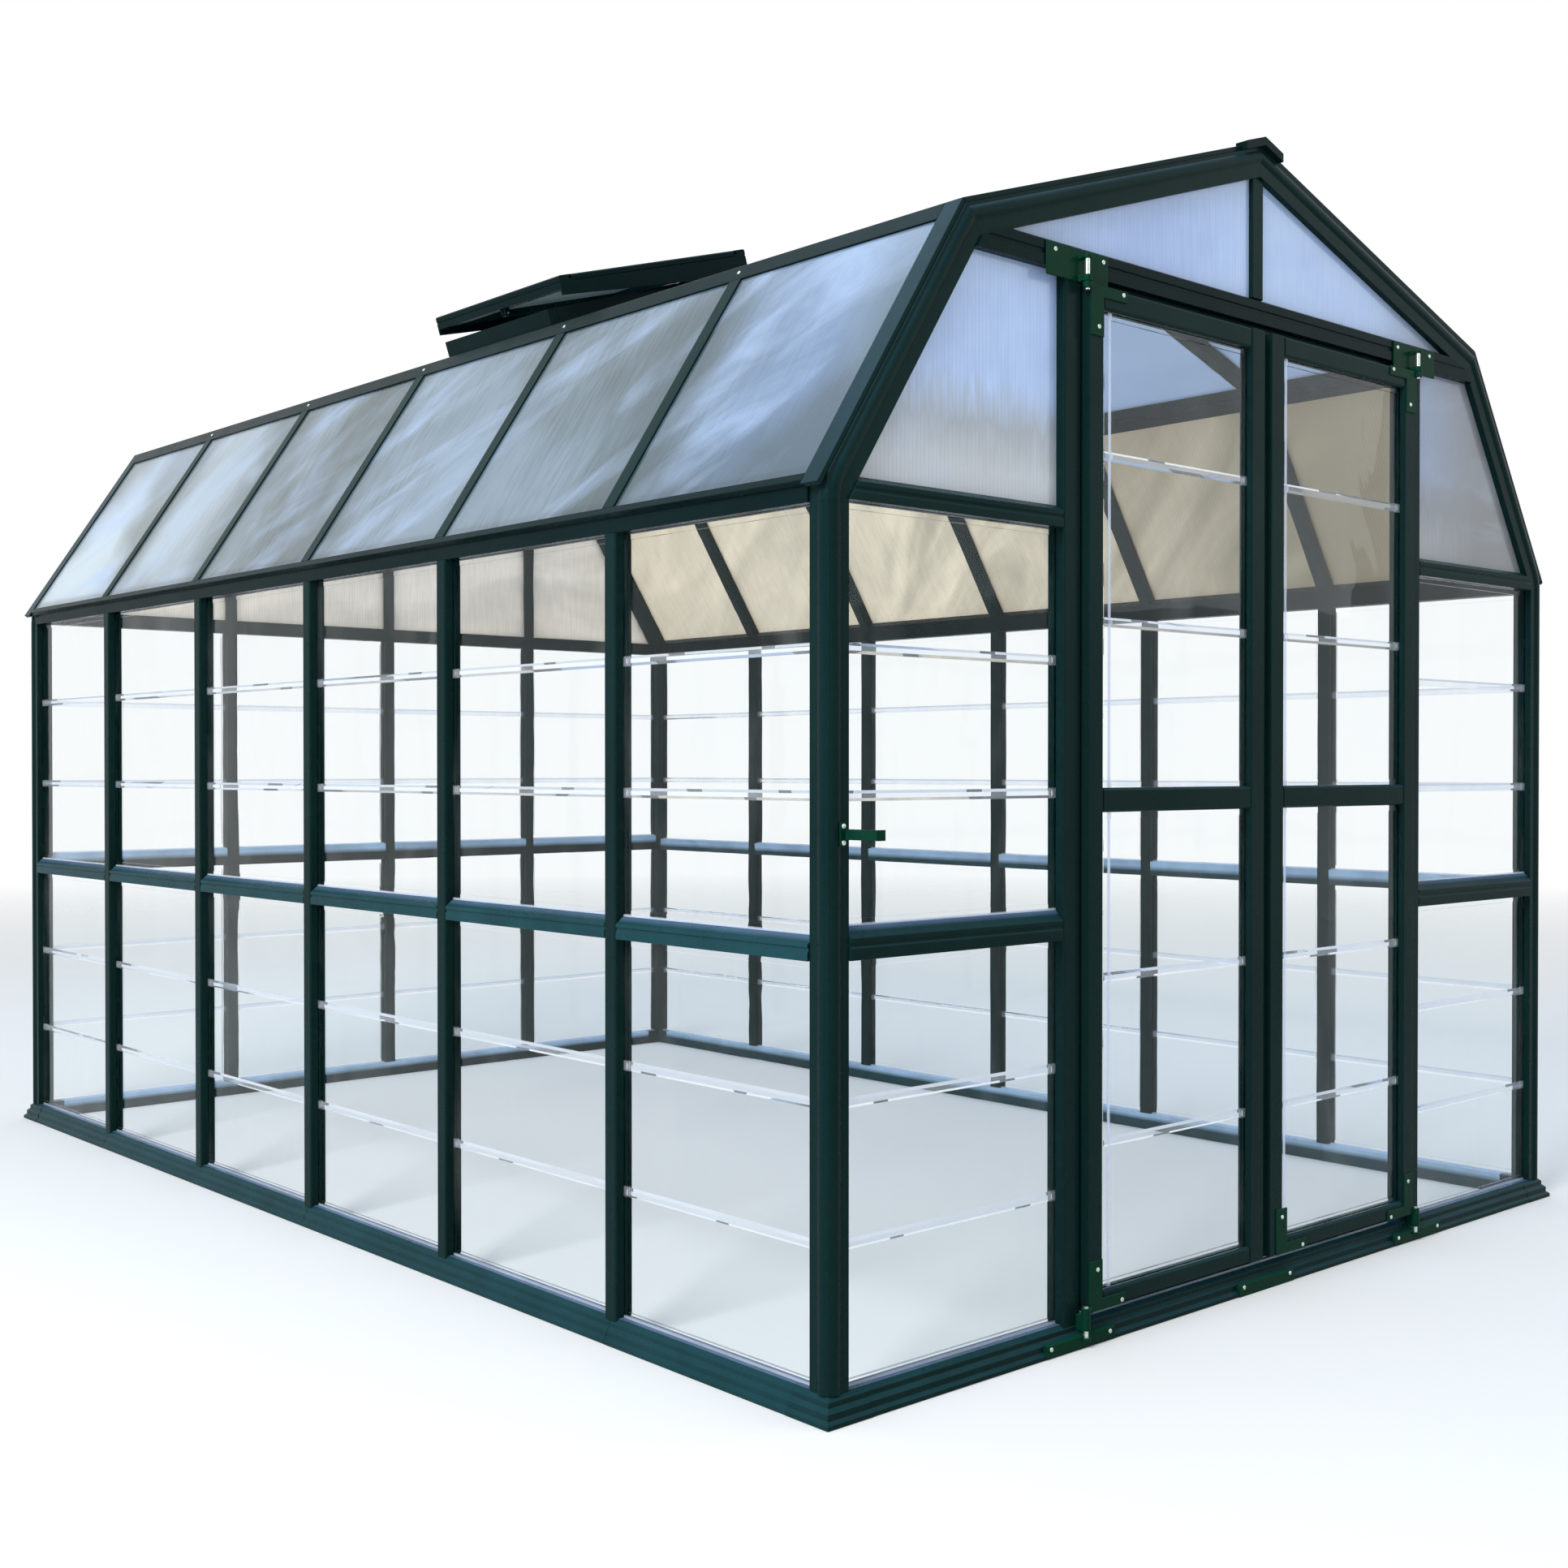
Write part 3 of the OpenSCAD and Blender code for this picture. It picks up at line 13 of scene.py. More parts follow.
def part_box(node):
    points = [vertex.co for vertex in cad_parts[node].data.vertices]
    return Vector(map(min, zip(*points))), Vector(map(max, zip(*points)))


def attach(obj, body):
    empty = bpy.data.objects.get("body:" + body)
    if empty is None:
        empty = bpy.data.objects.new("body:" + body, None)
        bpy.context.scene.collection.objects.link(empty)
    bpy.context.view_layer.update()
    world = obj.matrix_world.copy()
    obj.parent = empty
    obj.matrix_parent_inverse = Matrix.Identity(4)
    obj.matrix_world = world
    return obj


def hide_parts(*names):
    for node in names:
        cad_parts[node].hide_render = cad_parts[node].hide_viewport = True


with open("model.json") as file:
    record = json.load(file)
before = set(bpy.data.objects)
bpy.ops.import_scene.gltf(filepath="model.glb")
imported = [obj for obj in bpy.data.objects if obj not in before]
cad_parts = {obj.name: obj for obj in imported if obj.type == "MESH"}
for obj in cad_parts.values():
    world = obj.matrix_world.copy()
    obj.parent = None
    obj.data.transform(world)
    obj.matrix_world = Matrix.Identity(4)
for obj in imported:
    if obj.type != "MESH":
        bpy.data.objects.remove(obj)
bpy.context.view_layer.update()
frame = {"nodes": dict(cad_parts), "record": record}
nodes = frame["nodes"]
rng = random.Random(7)

MIDDLE = (0.3, 0.7)  # most of a noise texture keeps to this range
WELD_GAP = 0.00002


# Node helpers

def feed(tree, n, inputs):
    """Links sockets into a node's inputs and sets plain values on them."""
    for key, value in inputs.items():
        if isinstance(value, bpy.types.NodeSocket):
            tree.links.new(value, n.inputs[key])
        else:
            n.inputs[key].default_value = value


def node(tree, kind, inputs=None, **props):
    n = tree.nodes.new(kind)
    for key, value in props.items():
        setattr(n, key, value)
    feed(tree, n, inputs or {})
    return n


def new_material(name):
    mat = bpy.data.materials.new(name)
    mat.use_nodes = True
    tree = mat.node_tree
    tree.nodes.clear()
    out = tree.nodes.new("ShaderNodeOutputMaterial")
    bsdf = tree.nodes.new("ShaderNodeBsdfPrincipled")
    tree.links.new(bsdf.outputs["BSDF"], out.inputs["Surface"])
    return mat, tree, bsdf, out


def coords(tree, scale=(1, 1, 1)):
    """Object coordinates, stretched."""
    tc = node(tree, "ShaderNodeTexCoord")
    return node(tree, "ShaderNodeMapping", {"Vector": tc.outputs["Object"], "Scale": scale}).outputs["Vector"]


def turned(tree, angle, scale):
    """Object coordinates turned about X, then stretched."""
    tc = node(tree, "ShaderNodeTexCoord")
    spin = node(tree, "ShaderNodeMapping", {"Vector": tc.outputs["Object"], "Rotation": (angle, 0.0, 0.0)})
    return node(tree, "ShaderNodeMapping", {"Vector": spin.outputs["Vector"], "Scale": scale}).outputs["Vector"]


def facing(tree, axis):
    """How far the surface looks along one axis of the object, from -1 to 1."""
    tc = node(tree, "ShaderNodeTexCoord")
    return node(tree, "ShaderNodeSeparateXYZ", {"Vector": tc.outputs["Normal"]}).outputs[axis]


def place(tree, axis):
    """Position along one axis of the object, in metres."""
    return node(tree, "ShaderNodeSeparateXYZ", {"Vector": coords(tree)}).outputs[axis]


def noise(tree, vec, scale, detail, rough, distort=0.0):
    return node(tree, "ShaderNodeTexNoise", {"Vector": vec, "Scale": scale, "Detail": detail,
                                             "Roughness": rough, "Distortion": distort}).outputs["Fac"]


def remap(tree, value, low, high, start=0.0, end=1.0):
    """Takes low to high onto start to end, and holds the value at both ends."""
    return node(tree, "ShaderNodeMapRange", {"Value": value, "From Min": low, "From Max": high,
                                             "To Min": start, "To Max": end}).outputs["Result"]


def math_node(tree, op, a, b=0.0):
    return node(tree, "ShaderNodeMath", {0: a, 1: b}, operation=op).outputs["Value"]


def plus(tree, a, b):
    return math_node(tree, "ADD", a, b)


def minus(tree, a, b):
    return math_node(tree, "SUBTRACT", a, b)


def times(tree, a, b):
    return math_node(tree, "MULTIPLY", a, b)


def larger(tree, a, b):
    return math_node(tree, "MAXIMUM", a, b)


def near(tree, value, centre, full, none):
    """1 within full of the centre, falling to 0 at none from it."""
    return remap(tree, math_node(tree, "ABSOLUTE", minus(tree, value, centre)), full, none, 1.0, 0.0)


def mix_color(tree, share, below, above):
    """Lays a share of one colour over another."""
    n = node(tree, "ShaderNodeMix", data_type="RGBA")
    for name, kind, value in (("Factor", "VALUE", share), ("A", "RGBA", below), ("B", "RGBA", above)):
        socket = next(s for s in n.inputs if s.name == name and s.type == kind)
        if isinstance(value, bpy.types.NodeSocket):
            tree.links.new(value, socket)
        else:
            socket.default_value = value if kind == "VALUE" else value + (1.0,)
    return next(s for s in n.outputs if s.type == "RGBA")


def scaled(k, colour):
    return tuple(k * c for c in colour)


def bump(tree, height, strength, distance, normal=None):
    inputs = {"Height": height, "Strength": strength, "Distance": distance}
    if normal is not None:
        inputs["Normal"] = normal
    return node(tree, "ShaderNodeBump", inputs).outputs["Normal"]


def mix_shader(tree, share, first, second):
    return node(tree, "ShaderNodeMixShader", {0: share, 1: first, 2: second}).outputs["Shader"]


def rays(tree, *kinds):
    """1 for rays of these kinds and 0 for others."""
    path = node(tree, "ShaderNodeLightPath")
    value = path.outputs[kinds[0]]
    for kind in kinds[1:]:
        value = larger(tree, value, path.outputs[kind])
    return value


# Resin

# How far a face looks across or up where its painted sheen starts, and where the painted sheen is full
ACROSS = (0.30, 0.95)
SLOPE = (0.05, 0.75)
LEDGE = (0.88, 0.98)
STRIP_RISE = 0.2
# Least and greatest share of the painted sheen from place to place
SHEEN_PATCHES = (0.6, 1.0)
RESIN_ROUGHNESS = (0.21, 0.33)
RESIN_SPECULAR = 0.04
RESIN_SPECULAR_TINT = (0.55, 0.86, 0.86, 1)


def resin(name, dark, light, slope, ledge, side, strip=None):
    """Satin moulded resin. slope, ledge and side are pairs of colour and share: painted sheen, sky reflection
    painted paler on slopes, on level ledges and on faces that look across. strip is a height range of painted
    highlight that pales upward to the ledge's colour, and how far a face has to look up for that."""
    mat, tree, bsdf, _ = new_material(name)
    v = coords(tree)
    broad = noise(tree, v, scale=2.3, detail=3.0, rough=0.5)
    fine = noise(tree, v, scale=60.0, detail=3.0, rough=0.6)
    mottle = plus(tree, times(tree, broad, 0.7), times(tree, fine, 0.3))
    colour = mix_color(tree, remap(tree, mottle, *MIDDLE), dark, light)
    patchy = remap(tree, noise(tree, v, scale=7.0, detail=4.0, rough=0.6), *MIDDLE, *SHEEN_PATCHES)
    # Painted sheen: sky reflection painted paler, in patches, on faces that look across, on slopes and on level
    # ledges
    up = facing(tree, "Z")
    across = math_node(tree, "ABSOLUTE", facing(tree, "X"))
    for value, limits, (tint, share) in ((across, ACROSS, side), (up, SLOPE, slope), (up, LEDGE, ledge)):
        amount = times(tree, remap(tree, value, *limits, end=share), patchy)
        colour = mix_color(tree, amount, colour, tint)
    # Painted highlight: a strip along a rail's rounded top that pales upward
    if strip:
        low, high, least_up = strip
        tint, share = ledge
        risen = remap(tree, place(tree, "Z"), low, high, end=share)
        looks_up = times(tree, remap(tree, up, least_up, least_up + STRIP_RISE), patchy)
        colour = mix_color(tree, times(tree, risen, looks_up), colour, tint)
    worn = noise(tree, v, scale=9.0, detail=5.0, rough=0.65)
    grain = bump(tree, noise(tree, v, scale=420.0, detail=2.0, rough=0.5), strength=0.06, distance=0.0004)
    wave = bump(tree, noise(tree, v, scale=3.2, detail=1.0, rough=0.4), 0.20, 0.006, grain)
    feed(tree, bsdf, {"Base Color": colour, "Roughness": remap(tree, worn, *MIDDLE, *RESIN_ROUGHNESS),
                      "Specular IOR Level": RESIN_SPECULAR, "Specular Tint": RESIN_SPECULAR_TINT,
                      "Normal": wave})
    return mat


# Clear sheets

# Half widths of a painted highlight line: full highlight up to the first, none past the second
RIB_BAND = (0.008, 0.0105)
EDGE_BAND = (0.002, 0.005)
# Shares of painted highlight on ribs, on level edges and on upright edges, then its least and greatest share
# from place to place
RIB_HIGHLIGHT, LEDGE_HIGHLIGHT, UPRIGHT_HIGHLIGHT = 0.17, 0.6, 0.8
HIGHLIGHT_PATCHES = (0.55, 1.0)
FILM_RANGE, FILM_SHARE = (0.50, 0.80), 0.03
TINT_RANGE = (0.05, 0.25)
CLEAR_TINT = (0.96, 0.98, 0.985)
# Colour of the painted highlights
HIGHLIGHT_TINT = (0.76, 0.83, 0.97)
SHEET_SHADOW = (0.95, 0.97, 0.98, 1)
CLEAR_IOR = 1.18
CLEAR_SPECULAR = 0.4
# A rib's faces lean between these, and its faces lie closer together than the gap
RIB_LEAN = (0.2, 0.97)
RIB_GAP = 0.03


def clear_sheet(name, ribs, ledges, uprights=()):
    """Clear acrylic, a little wavy. It has painted white-blue highlights on its formed ribs, on its level edges
    and on its upright edges, and has a faint film in places. Light and shadow pass straight through it."""
    mat, tree, bsdf, out = new_material(name)
    z = place(tree, "Z")
    # Painted highlight lines, then a faint film
    lines = [(z, height, RIB_BAND, RIB_HIGHLIGHT) for height in ribs]
    lines += [(z, height, EDGE_BAND, LEDGE_HIGHLIGHT) for height in ledges]
    lines += [(place(tree, "X"), across, EDGE_BAND, UPRIGHT_HIGHLIGHT) for across in uprights]
    highlight_and_film = 0.0
    for value, centre, band, share in lines:
        highlight_and_film = larger(tree, highlight_and_film, times(tree, near(tree, value, centre, *band), share))
    smear = noise(tree, coords(tree, (5.0, 5.0, 1.2)), scale=1.0, detail=4.0, rough=0.6, distort=0.8)
    highlight_and_film = times(tree, highlight_and_film, remap(tree, smear, *MIDDLE, *HIGHLIGHT_PATCHES))
    highlight_and_film = larger(tree, highlight_and_film, times(tree, remap(tree, smear, *FILM_RANGE), FILM_SHARE))
    tint = mix_color(tree, remap(tree, highlight_and_film, *TINT_RANGE), CLEAR_TINT, HIGHLIGHT_TINT)
    broad = noise(tree, coords(tree, (1.0, 1.0, 0.7)), scale=2.6, detail=1.5, rough=0.5, distort=1.2)
    swell = bump(tree, broad, strength=0.20, distance=0.012)
    fine = noise(tree, coords(tree, (1.0, 1.0, 0.35)), scale=14.0, detail=2.0, rough=0.5)
    ripple = bump(tree, fine, 0.06, 0.002, swell)
    feed(tree, bsdf, {"Base Color": tint, "Transmission Weight": minus(tree, 1.0, highlight_and_film), "IOR": CLEAR_IOR,
                      "Specular IOR Level": CLEAR_SPECULAR, "Roughness": 0.0, "Normal": ripple})
    clear = node(tree, "ShaderNodeBsdfTransparent", {"Color": SHEET_SHADOW})
    passing = rays(tree, "Is Shadow Ray", "Is Diffuse Ray")
    surface = mix_shader(tree, passing, bsdf.outputs["BSDF"], clear.outputs["BSDF"])
    feed(tree, out, {"Surface": surface})
    return mat


def rib_heights(names):
    """Heights of the formed ribs: where a clear sheet's faces are neither upright nor level."""
    low, high = RIB_LEAN
    found = [face.center.z for name in names for face in nodes[name].data.polygons
             if low < abs(face.normal.z) < high]
    rows = []
    for z in sorted(found):
        if rows and z - rows[-1][-1] < RIB_GAP:
            rows[-1].append(z)
        else:
            rows.append([z])
    return [(row[0] + row[-1]) / 2 for row in rows]


# Twin-wall sheets

WEB_PITCH = 0.010
WEB_HALF = 0.12  # in pitches
WEB_SHADE, WEB_SHARE = 0.5, 0.26
FLUTE_SCALE = 90.0
FLUTE_LENGTHS = {"X": (1.0, 0.12, 0.12), "Y": (0.12, 1.0, 0.12)}
FLUTE_SHARE, FRAY_SHARE = 0.36, 0.25
CLOUD_RANGE = (0.32, 0.66)
WISP_RANGE = (0.48, 0.70)
WISP_TURN, WISP_STRETCH = 0.6, (1.4, 1.1, 4.5)
DULL_RANGE, DULL_SHARE, DULL_STRAY = (0.04, 0.24), 0.62, 0.9
INNER_SHADE, INNER_STRAY = 0.78, 1.6
INNER_SIDE = (0.2, 0.4)
GLOW_SHARES = (0.40, 0.70)  # of the outer and of the inner skin
SEEN_THROUGH, SHADOW_THROUGH = 0.12, 0.75
TWIN_SHADOW = (0.93, 0.96, 1.0, 1)


def washed(tree, colour, washes, stray):
    """A colour that changes in broad bands, each with an edge that strays by some metres."""
    for axis, first, last, tint, share in washes:
        spot = plus(tree, place(tree, axis), stray)
        colour = mix_color(tree, remap(tree, spot, first, last, end=share), colour, tint)
    return colour


def twin_wall(name, axis, dark, light, reflected_streak, inside, side, washes=(), reflected_wisp_share=0.8, bays=None,
              inner_washes=(), inner_bands=()):
    """Milky sheet with webs across one axis. The clouds, streaks and washes of its outer skin are painted sky
    reflection on its own milky tone. Its inner skin, on faces that look along side, takes the colour inside:
    painted light passing through on the roof and the back gable, painted shade under the flap. washes are rows
    of axis, two
    positions, colour and share: broad changes of tone, painted sky reflection, along the sheets. The inner skin
    has
    its own washes: inner_washes with a cloudy edge and inner_bands with a plain one.
    bays gives the first edge and the pitch of sheets that are duller towards their long edges."""
    mat, tree, bsdf, out = new_material(name)
    v = coords(tree)
    web = math_node(tree, "PINGPONG", times(tree, place(tree, axis), 1 / WEB_PITCH), 0.5)
    cloud = noise(tree, v, scale=1.5, detail=3.0, rough=0.5, distort=0.6)
    wisp = noise(tree, turned(tree, WISP_TURN, WISP_STRETCH), scale=1.0, detail=5.0, rough=0.55, distort=1.6)
    flutes = coords(tree, scaled(FLUTE_SCALE, FLUTE_LENGTHS[axis]))
    grain = times(tree, minus(tree, noise(tree, flutes, scale=1.0, detail=2.0, rough=0.5), 0.5), FLUTE_SHARE)

    # Outer skin: its own milky tone, with painted sky reflection in its clouds, washes and streaks
    outer = mix_color(tree, remap(tree, plus(tree, cloud, grain), *CLOUD_RANGE), dark, light)
    outer = washed(tree, outer, washes, times(tree, grain, FRAY_SHARE))
    reflected_wisps = times(tree, remap(tree, wisp, *WISP_RANGE), reflected_wisp_share)
    if bays:
        edge, pitch = bays
        inward = math_node(tree, "PINGPONG", minus(tree, place(tree, "Y"), edge), pitch / 2)
        stray = times(tree, minus(tree, cloud, 0.5), DULL_STRAY)
        dull = remap(tree, plus(tree, inward, stray), *DULL_RANGE, DULL_SHARE, 0.0)
        outer = mix_color(tree, dull, outer, dark)
        reflected_wisps = times(tree, reflected_wisps, minus(tree, 1.0, dull))
    outer = mix_color(tree, reflected_wisps, outer, reflected_streak)

    # Inner skin: the colour inside, painted light passing through the sheet, and painted shade under the flap
    inner = mix_color(tree, remap(tree, plus(tree, wisp, grain), *MIDDLE), scaled(INNER_SHADE, inside), inside)
    inner = washed(tree, inner, inner_washes, times(tree, minus(tree, wisp, 0.5), INNER_STRAY))
    inner = washed(tree, inner, inner_bands, 0.0)
    side_axis, sign = side
    within = remap(tree, times(tree, facing(tree, side_axis), sign), *INNER_SIDE)
    line = times(tree, remap(tree, web, 0.0, WEB_HALF, 1.0, 0.0), WEB_SHARE)
    colour = mix_color(tree, line, mix_color(tree, within, outer, inner), scaled(WEB_SHADE, dark))

    ridge = bump(tree, web, strength=0.20, distance=0.0010)
    swell = bump(tree, noise(tree, v, scale=2.0, detail=2.0, rough=0.5, distort=0.5), 0.35, 0.02, ridge)
    feed(tree, bsdf, {"Base Color": colour, "Roughness": 0.22, "IOR": 1.5, "Specular IOR Level": 0.2,
                      "Coat Weight": 1.0, "Coat Roughness": 0.08, "Coat IOR": 1.6, "Normal": swell})
    glow = node(tree, "ShaderNodeBsdfTranslucent", {"Color": colour})
    body = mix_shader(tree, remap(tree, within, 0.0, 1.0, *GLOW_SHARES), bsdf.outputs["BSDF"],
                      glow.outputs["BSDF"])
    clear = node(tree, "ShaderNodeBsdfTransparent", {"Color": TWIN_SHADOW})
    passing = larger(tree, times(tree, rays(tree, "Is Shadow Ray"), SHADOW_THROUGH), SEEN_THROUGH)
    feed(tree, out, {"Surface": mix_shader(tree, passing, body, clear.outputs["BSDF"])})
    return mat


# Steel

def steel(name):
    mat, tree, bsdf, _ = new_material(name)
    v = coords(tree)
    tone = remap(tree, noise(tree, v, scale=220.0, detail=4.0, rough=0.6), *MIDDLE)
    worn = noise(tree, v, scale=500.0, detail=3.0, rough=0.5)
    grain = bump(tree, noise(tree, v, scale=900.0, detail=2.0, rough=0.5), strength=0.12, distance=0.0003)
    feed(tree, bsdf, {"Base Color": mix_color(tree, tone, (0.42, 0.50, 0.46), (0.70, 0.78, 0.74)),
                      "Metallic": 0.85, "Roughness": remap(tree, worn, *MIDDLE, 0.22, 0.42), "Normal": grain})
    return mat


# Materials of the frame

# Colours of painted sheen: sky reflection painted on faces that look up or across; SKYLIT is for the far rails
# and base seen from inside
PALE_SHEEN = (0.13, 0.21, 0.36)
SKYLIT = (0.46, 0.66, 0.90)
TEAL_SHEEN = (0.014, 0.062, 0.078)
SLATE_SHEEN = (0.035, 0.085, 0.135)
MOSS_SHEEN = (0.008, 0.08, 0.055)
DEEP = ((0.0028, 0.0125, 0.0118), (0.0052, 0.0195, 0.0183))
# A darker copy of DEEP for the bars up under the roof: painted shade
DEEP_SHADED = ((0.0012, 0.0065, 0.0070), (0.0026, 0.0115, 0.0125))
MOULDED = ((0.0010, 0.022, 0.0110), (0.0022, 0.033, 0.0165))
NEAR_UP, FAR_UP = 0.10, -0.40  # how far the near and the far rails' painted highlight strips have to look up
side_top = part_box("mid_rails_left")[1][2]
gable_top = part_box("front_mid_rails")[1][2]
base_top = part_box("base_rail_left")[1][2]

# Each material takes two colours of its own, then painted sheen on slopes, on ledges and on faces that look
# across, and some a painted highlight strip
POST = resin("resin_posts", *DEEP, (TEAL_SHEEN, 0.5), (TEAL_SHEEN, 0.6), (TEAL_SHEEN, 0.10))
# Roof bars, ridge, head beam and vent bars in the darker copy: painted shade
BAR = resin("resin_roof_bars", *DEEP_SHADED, (TEAL_SHEEN, 0.12), (TEAL_SHEEN, 0.40), (TEAL_SHEEN, 0.06))
RAFTER = resin("resin_rafters", *DEEP, (TEAL_SHEEN, 0.16), (TEAL_SHEEN, 0.40), (TEAL_SHEEN, 0.06))
# Gable bars: painted slate highlight on their round beads
BEAD = resin("resin_gable_bars", *DEEP, (SLATE_SHEEN, 0.42), (SLATE_SHEEN, 0.45), (TEAL_SHEEN, 0.12))
SIDE_RAIL = resin("resin_side_rails", *DEEP, (TEAL_SHEEN, 0.80), (PALE_SHEEN, 0.48), (TEAL_SHEEN, 0.95),
                  (side_top - 0.010, side_top - 0.003, NEAR_UP))
GABLE_RAIL = resin("resin_gable_rails", *DEEP, (TEAL_SHEEN, 0.55), (PALE_SHEEN, 0.60), (TEAL_SHEEN, 0.3),
                   (gable_top - 0.009, gable_top - 0.002, NEAR_UP))
# The far rails and base, seen from inside, get a stronger sky-lit painted sheen and a wider painted highlight
# strip
RIGHT_RAIL = resin("resin_right_rails", *DEEP, (TEAL_SHEEN, 0.85), (SKYLIT, 0.90), (TEAL_SHEEN, 0.8),
                   (side_top - 0.030, side_top - 0.015, FAR_UP))
BACK_RAIL = resin("resin_back_rails", *DEEP, (TEAL_SHEEN, 0.85), (SKYLIT, 0.90), (TEAL_SHEEN, 0.8),
                  (gable_top - 0.030, gable_top - 0.015, FAR_UP))
BASE = resin("resin_base", *DEEP, (TEAL_SHEEN, 0.80), (PALE_SHEEN, 0.80), (TEAL_SHEEN, 0.75))
FRONT_BASE = resin("resin_front_base", *DEEP, (TEAL_SHEEN, 0.70), (PALE_SHEEN, 0.60), (TEAL_SHEEN, 0.5))
FAR_BASE = resin("resin_far_base", *DEEP, (TEAL_SHEEN, 0.85), (SKYLIT, 0.90), (TEAL_SHEEN, 0.8),
                 (base_top - 0.022, base_top - 0.008, FAR_UP))
# Moulded joints: their own green, with painted sheen
JOINT = resin("moulded_green", *MOULDED, (MOSS_SHEEN, 0.5), ((0.02, 0.12, 0.09), 0.6), (MOSS_SHEEN, 0.25))
STEEL = steel("plated_steel")


# Materials of the sheets

DOOR_EDGES = (-0.5124, 0.0858)
BAYS = (-1.7996, 0.61)
# Warm colour of the roof's inner skin: painted light passing through the sheets
WARM = (1.0, 0.90, 0.73)
# Axis, two tones and streak of the outer skins: their own milky tone with painted sky reflection
ROOF_TONES = ("Y", (0.075, 0.125, 0.135), (0.27, 0.37, 0.47), (0.50, 0.66, 0.95))
RIGHT_TONES = ("Y", (0.16, 0.22, 0.25), (0.36, 0.46, 0.56), (0.56, 0.71, 0.95))
GABLE_TONES = ("X", (0.48, 0.62, 0.90), (0.60, 0.76, 1.0), (0.70, 0.84, 1.0))
# Inner-skin washes: darker olive towards the front, and painted sky light above 2.09 m
OLIVE = (("Y", 0.4, -1.2, (0.35, 0.30, 0.20), 0.9),)
SKY_ABOVE = (("Z", 2.09, 2.12, (0.36, 0.46, 0.62), 0.85),)

WALL_CLEAR = clear_sheet("clear_walls", rib_heights(("wall_panels_left", "wall_panels_right")),
                         (base_top, side_top))
GABLE_CLEAR = clear_sheet("clear_gables", rib_heights(("front_clear_panels", "back_clear_panels")),
                          (base_top, gable_top))
DOOR_CLEAR = clear_sheet("clear_doors", rib_heights(("door_left_panels", "door_right_panels")), (), DOOR_EDGES)
# Roof washes are painted sky reflection: bluer at the front, near white towards the back
ROOF = twin_wall("twin_wall_left", *ROOF_TONES, WARM, ("Z", -1),
                 (("Y", -1.0, -1.6, (0.20, 0.34, 0.60), 0.6), ("Y", 0.3, 1.6, (0.76, 0.88, 0.97), 0.88)),
                 bays=BAYS, inner_washes=OLIVE, inner_bands=SKY_ABOVE)
# Right roof washes are painted sky reflection: greyer blue towards both ends
RIGHT_ROOF = twin_wall("twin_wall_right", *RIGHT_TONES, WARM, ("Z", -1),
                       (("Y", -0.6, -1.6, (0.50, 0.62, 0.72), 0.6), ("Y", 0.6, 1.6, (0.46, 0.58, 0.72), 0.6)),
                       bays=BAYS, inner_washes=OLIVE, inner_bands=SKY_ABOVE)
# The flap's inner skin is dark: painted shade under the flap
FLAP = twin_wall("twin_wall_flap", *ROOF_TONES, (0.10, 0.13, 0.13), ("Z", -1))
# Front gable: its washes are painted reflection, grey low down and towards the right
GABLE = twin_wall("twin_wall_gable", *GABLE_TONES, (0.62, 0.68, 0.78), ("Y", 1),
                  (("Z", 1.80, 1.72, (0.46, 0.46, 0.44), 0.8), ("Z", 1.72, 1.64, (0.68, 0.70, 0.71), 0.9),
                   ("X", 0.45, 0.95, (0.37, 0.375, 0.38), 1.0)), reflected_wisp_share=0.25)
# Back gable: its warm inner skin is painted light passing through, its wash low down painted reflection
BACK_GABLE = twin_wall("twin_wall_back", *GABLE_TONES, (1.0, 0.93, 0.83), ("Y", -1),
                       (("Z", 1.80, 1.64, (0.66, 0.69, 0.70), 0.8),), reflected_wisp_share=0.35)


# Dressing the CAD nodes

EDGE_RADIUS = 0.0012
EDGE_ANGLE = math.radians(30)
BY_SLOT = {"frame_green": POST, "joint_green": JOINT, "clear_sheet": WALL_CLEAR, "twin_wall": ROOF,
           "screw_steel": STEEL}
# The first part of a name that fits gives the material; the slot's own material is for the rest
BY_NAME = (("front_gable_panels", GABLE), ("back_gable_panels", BACK_GABLE), ("flap_panel", FLAP),
           ("roof_panels_right", RIGHT_ROOF), ("_clear_panels", GABLE_CLEAR),
           ("door_left_panels", DOOR_CLEAR), ("door_right_panels", DOOR_CLEAR),
           ("mid_rails_left", SIDE_RAIL), ("mid_rails_right", RIGHT_RAIL), ("back_mid_rails", BACK_RAIL),
           ("front_mid_rails", GABLE_RAIL), ("base_rail_front", FRONT_BASE), ("base_rail_left", BASE),
           ("base_rail", FAR_BASE), ("corner_feet", FRONT_BASE), ("gable_rafters", BEAD),
           ("eave_knuckles", BEAD), ("gable_edge_caps", BEAD), ("purlins", BAR), ("roof_rafters", RAFTER),
           ("ridge", BAR), ("head_beam", BAR), ("vent_", BAR))


def soften(obj):
    """Small round edges on a moulded piece."""
    obj.modifiers.new("weld", "WELD").merge_threshold = WELD_GAP
    bevel = obj.modifiers.new("bevel", "BEVEL")
    bevel.width = EDGE_RADIUS
    bevel.segments = 2
    bevel.limit_method = "ANGLE"
    bevel.angle_limit = EDGE_ANGLE
    bevel.harden_normals = True
    obj.modifiers.new("normals", "WEIGHTED_NORMAL").keep_sharp = True


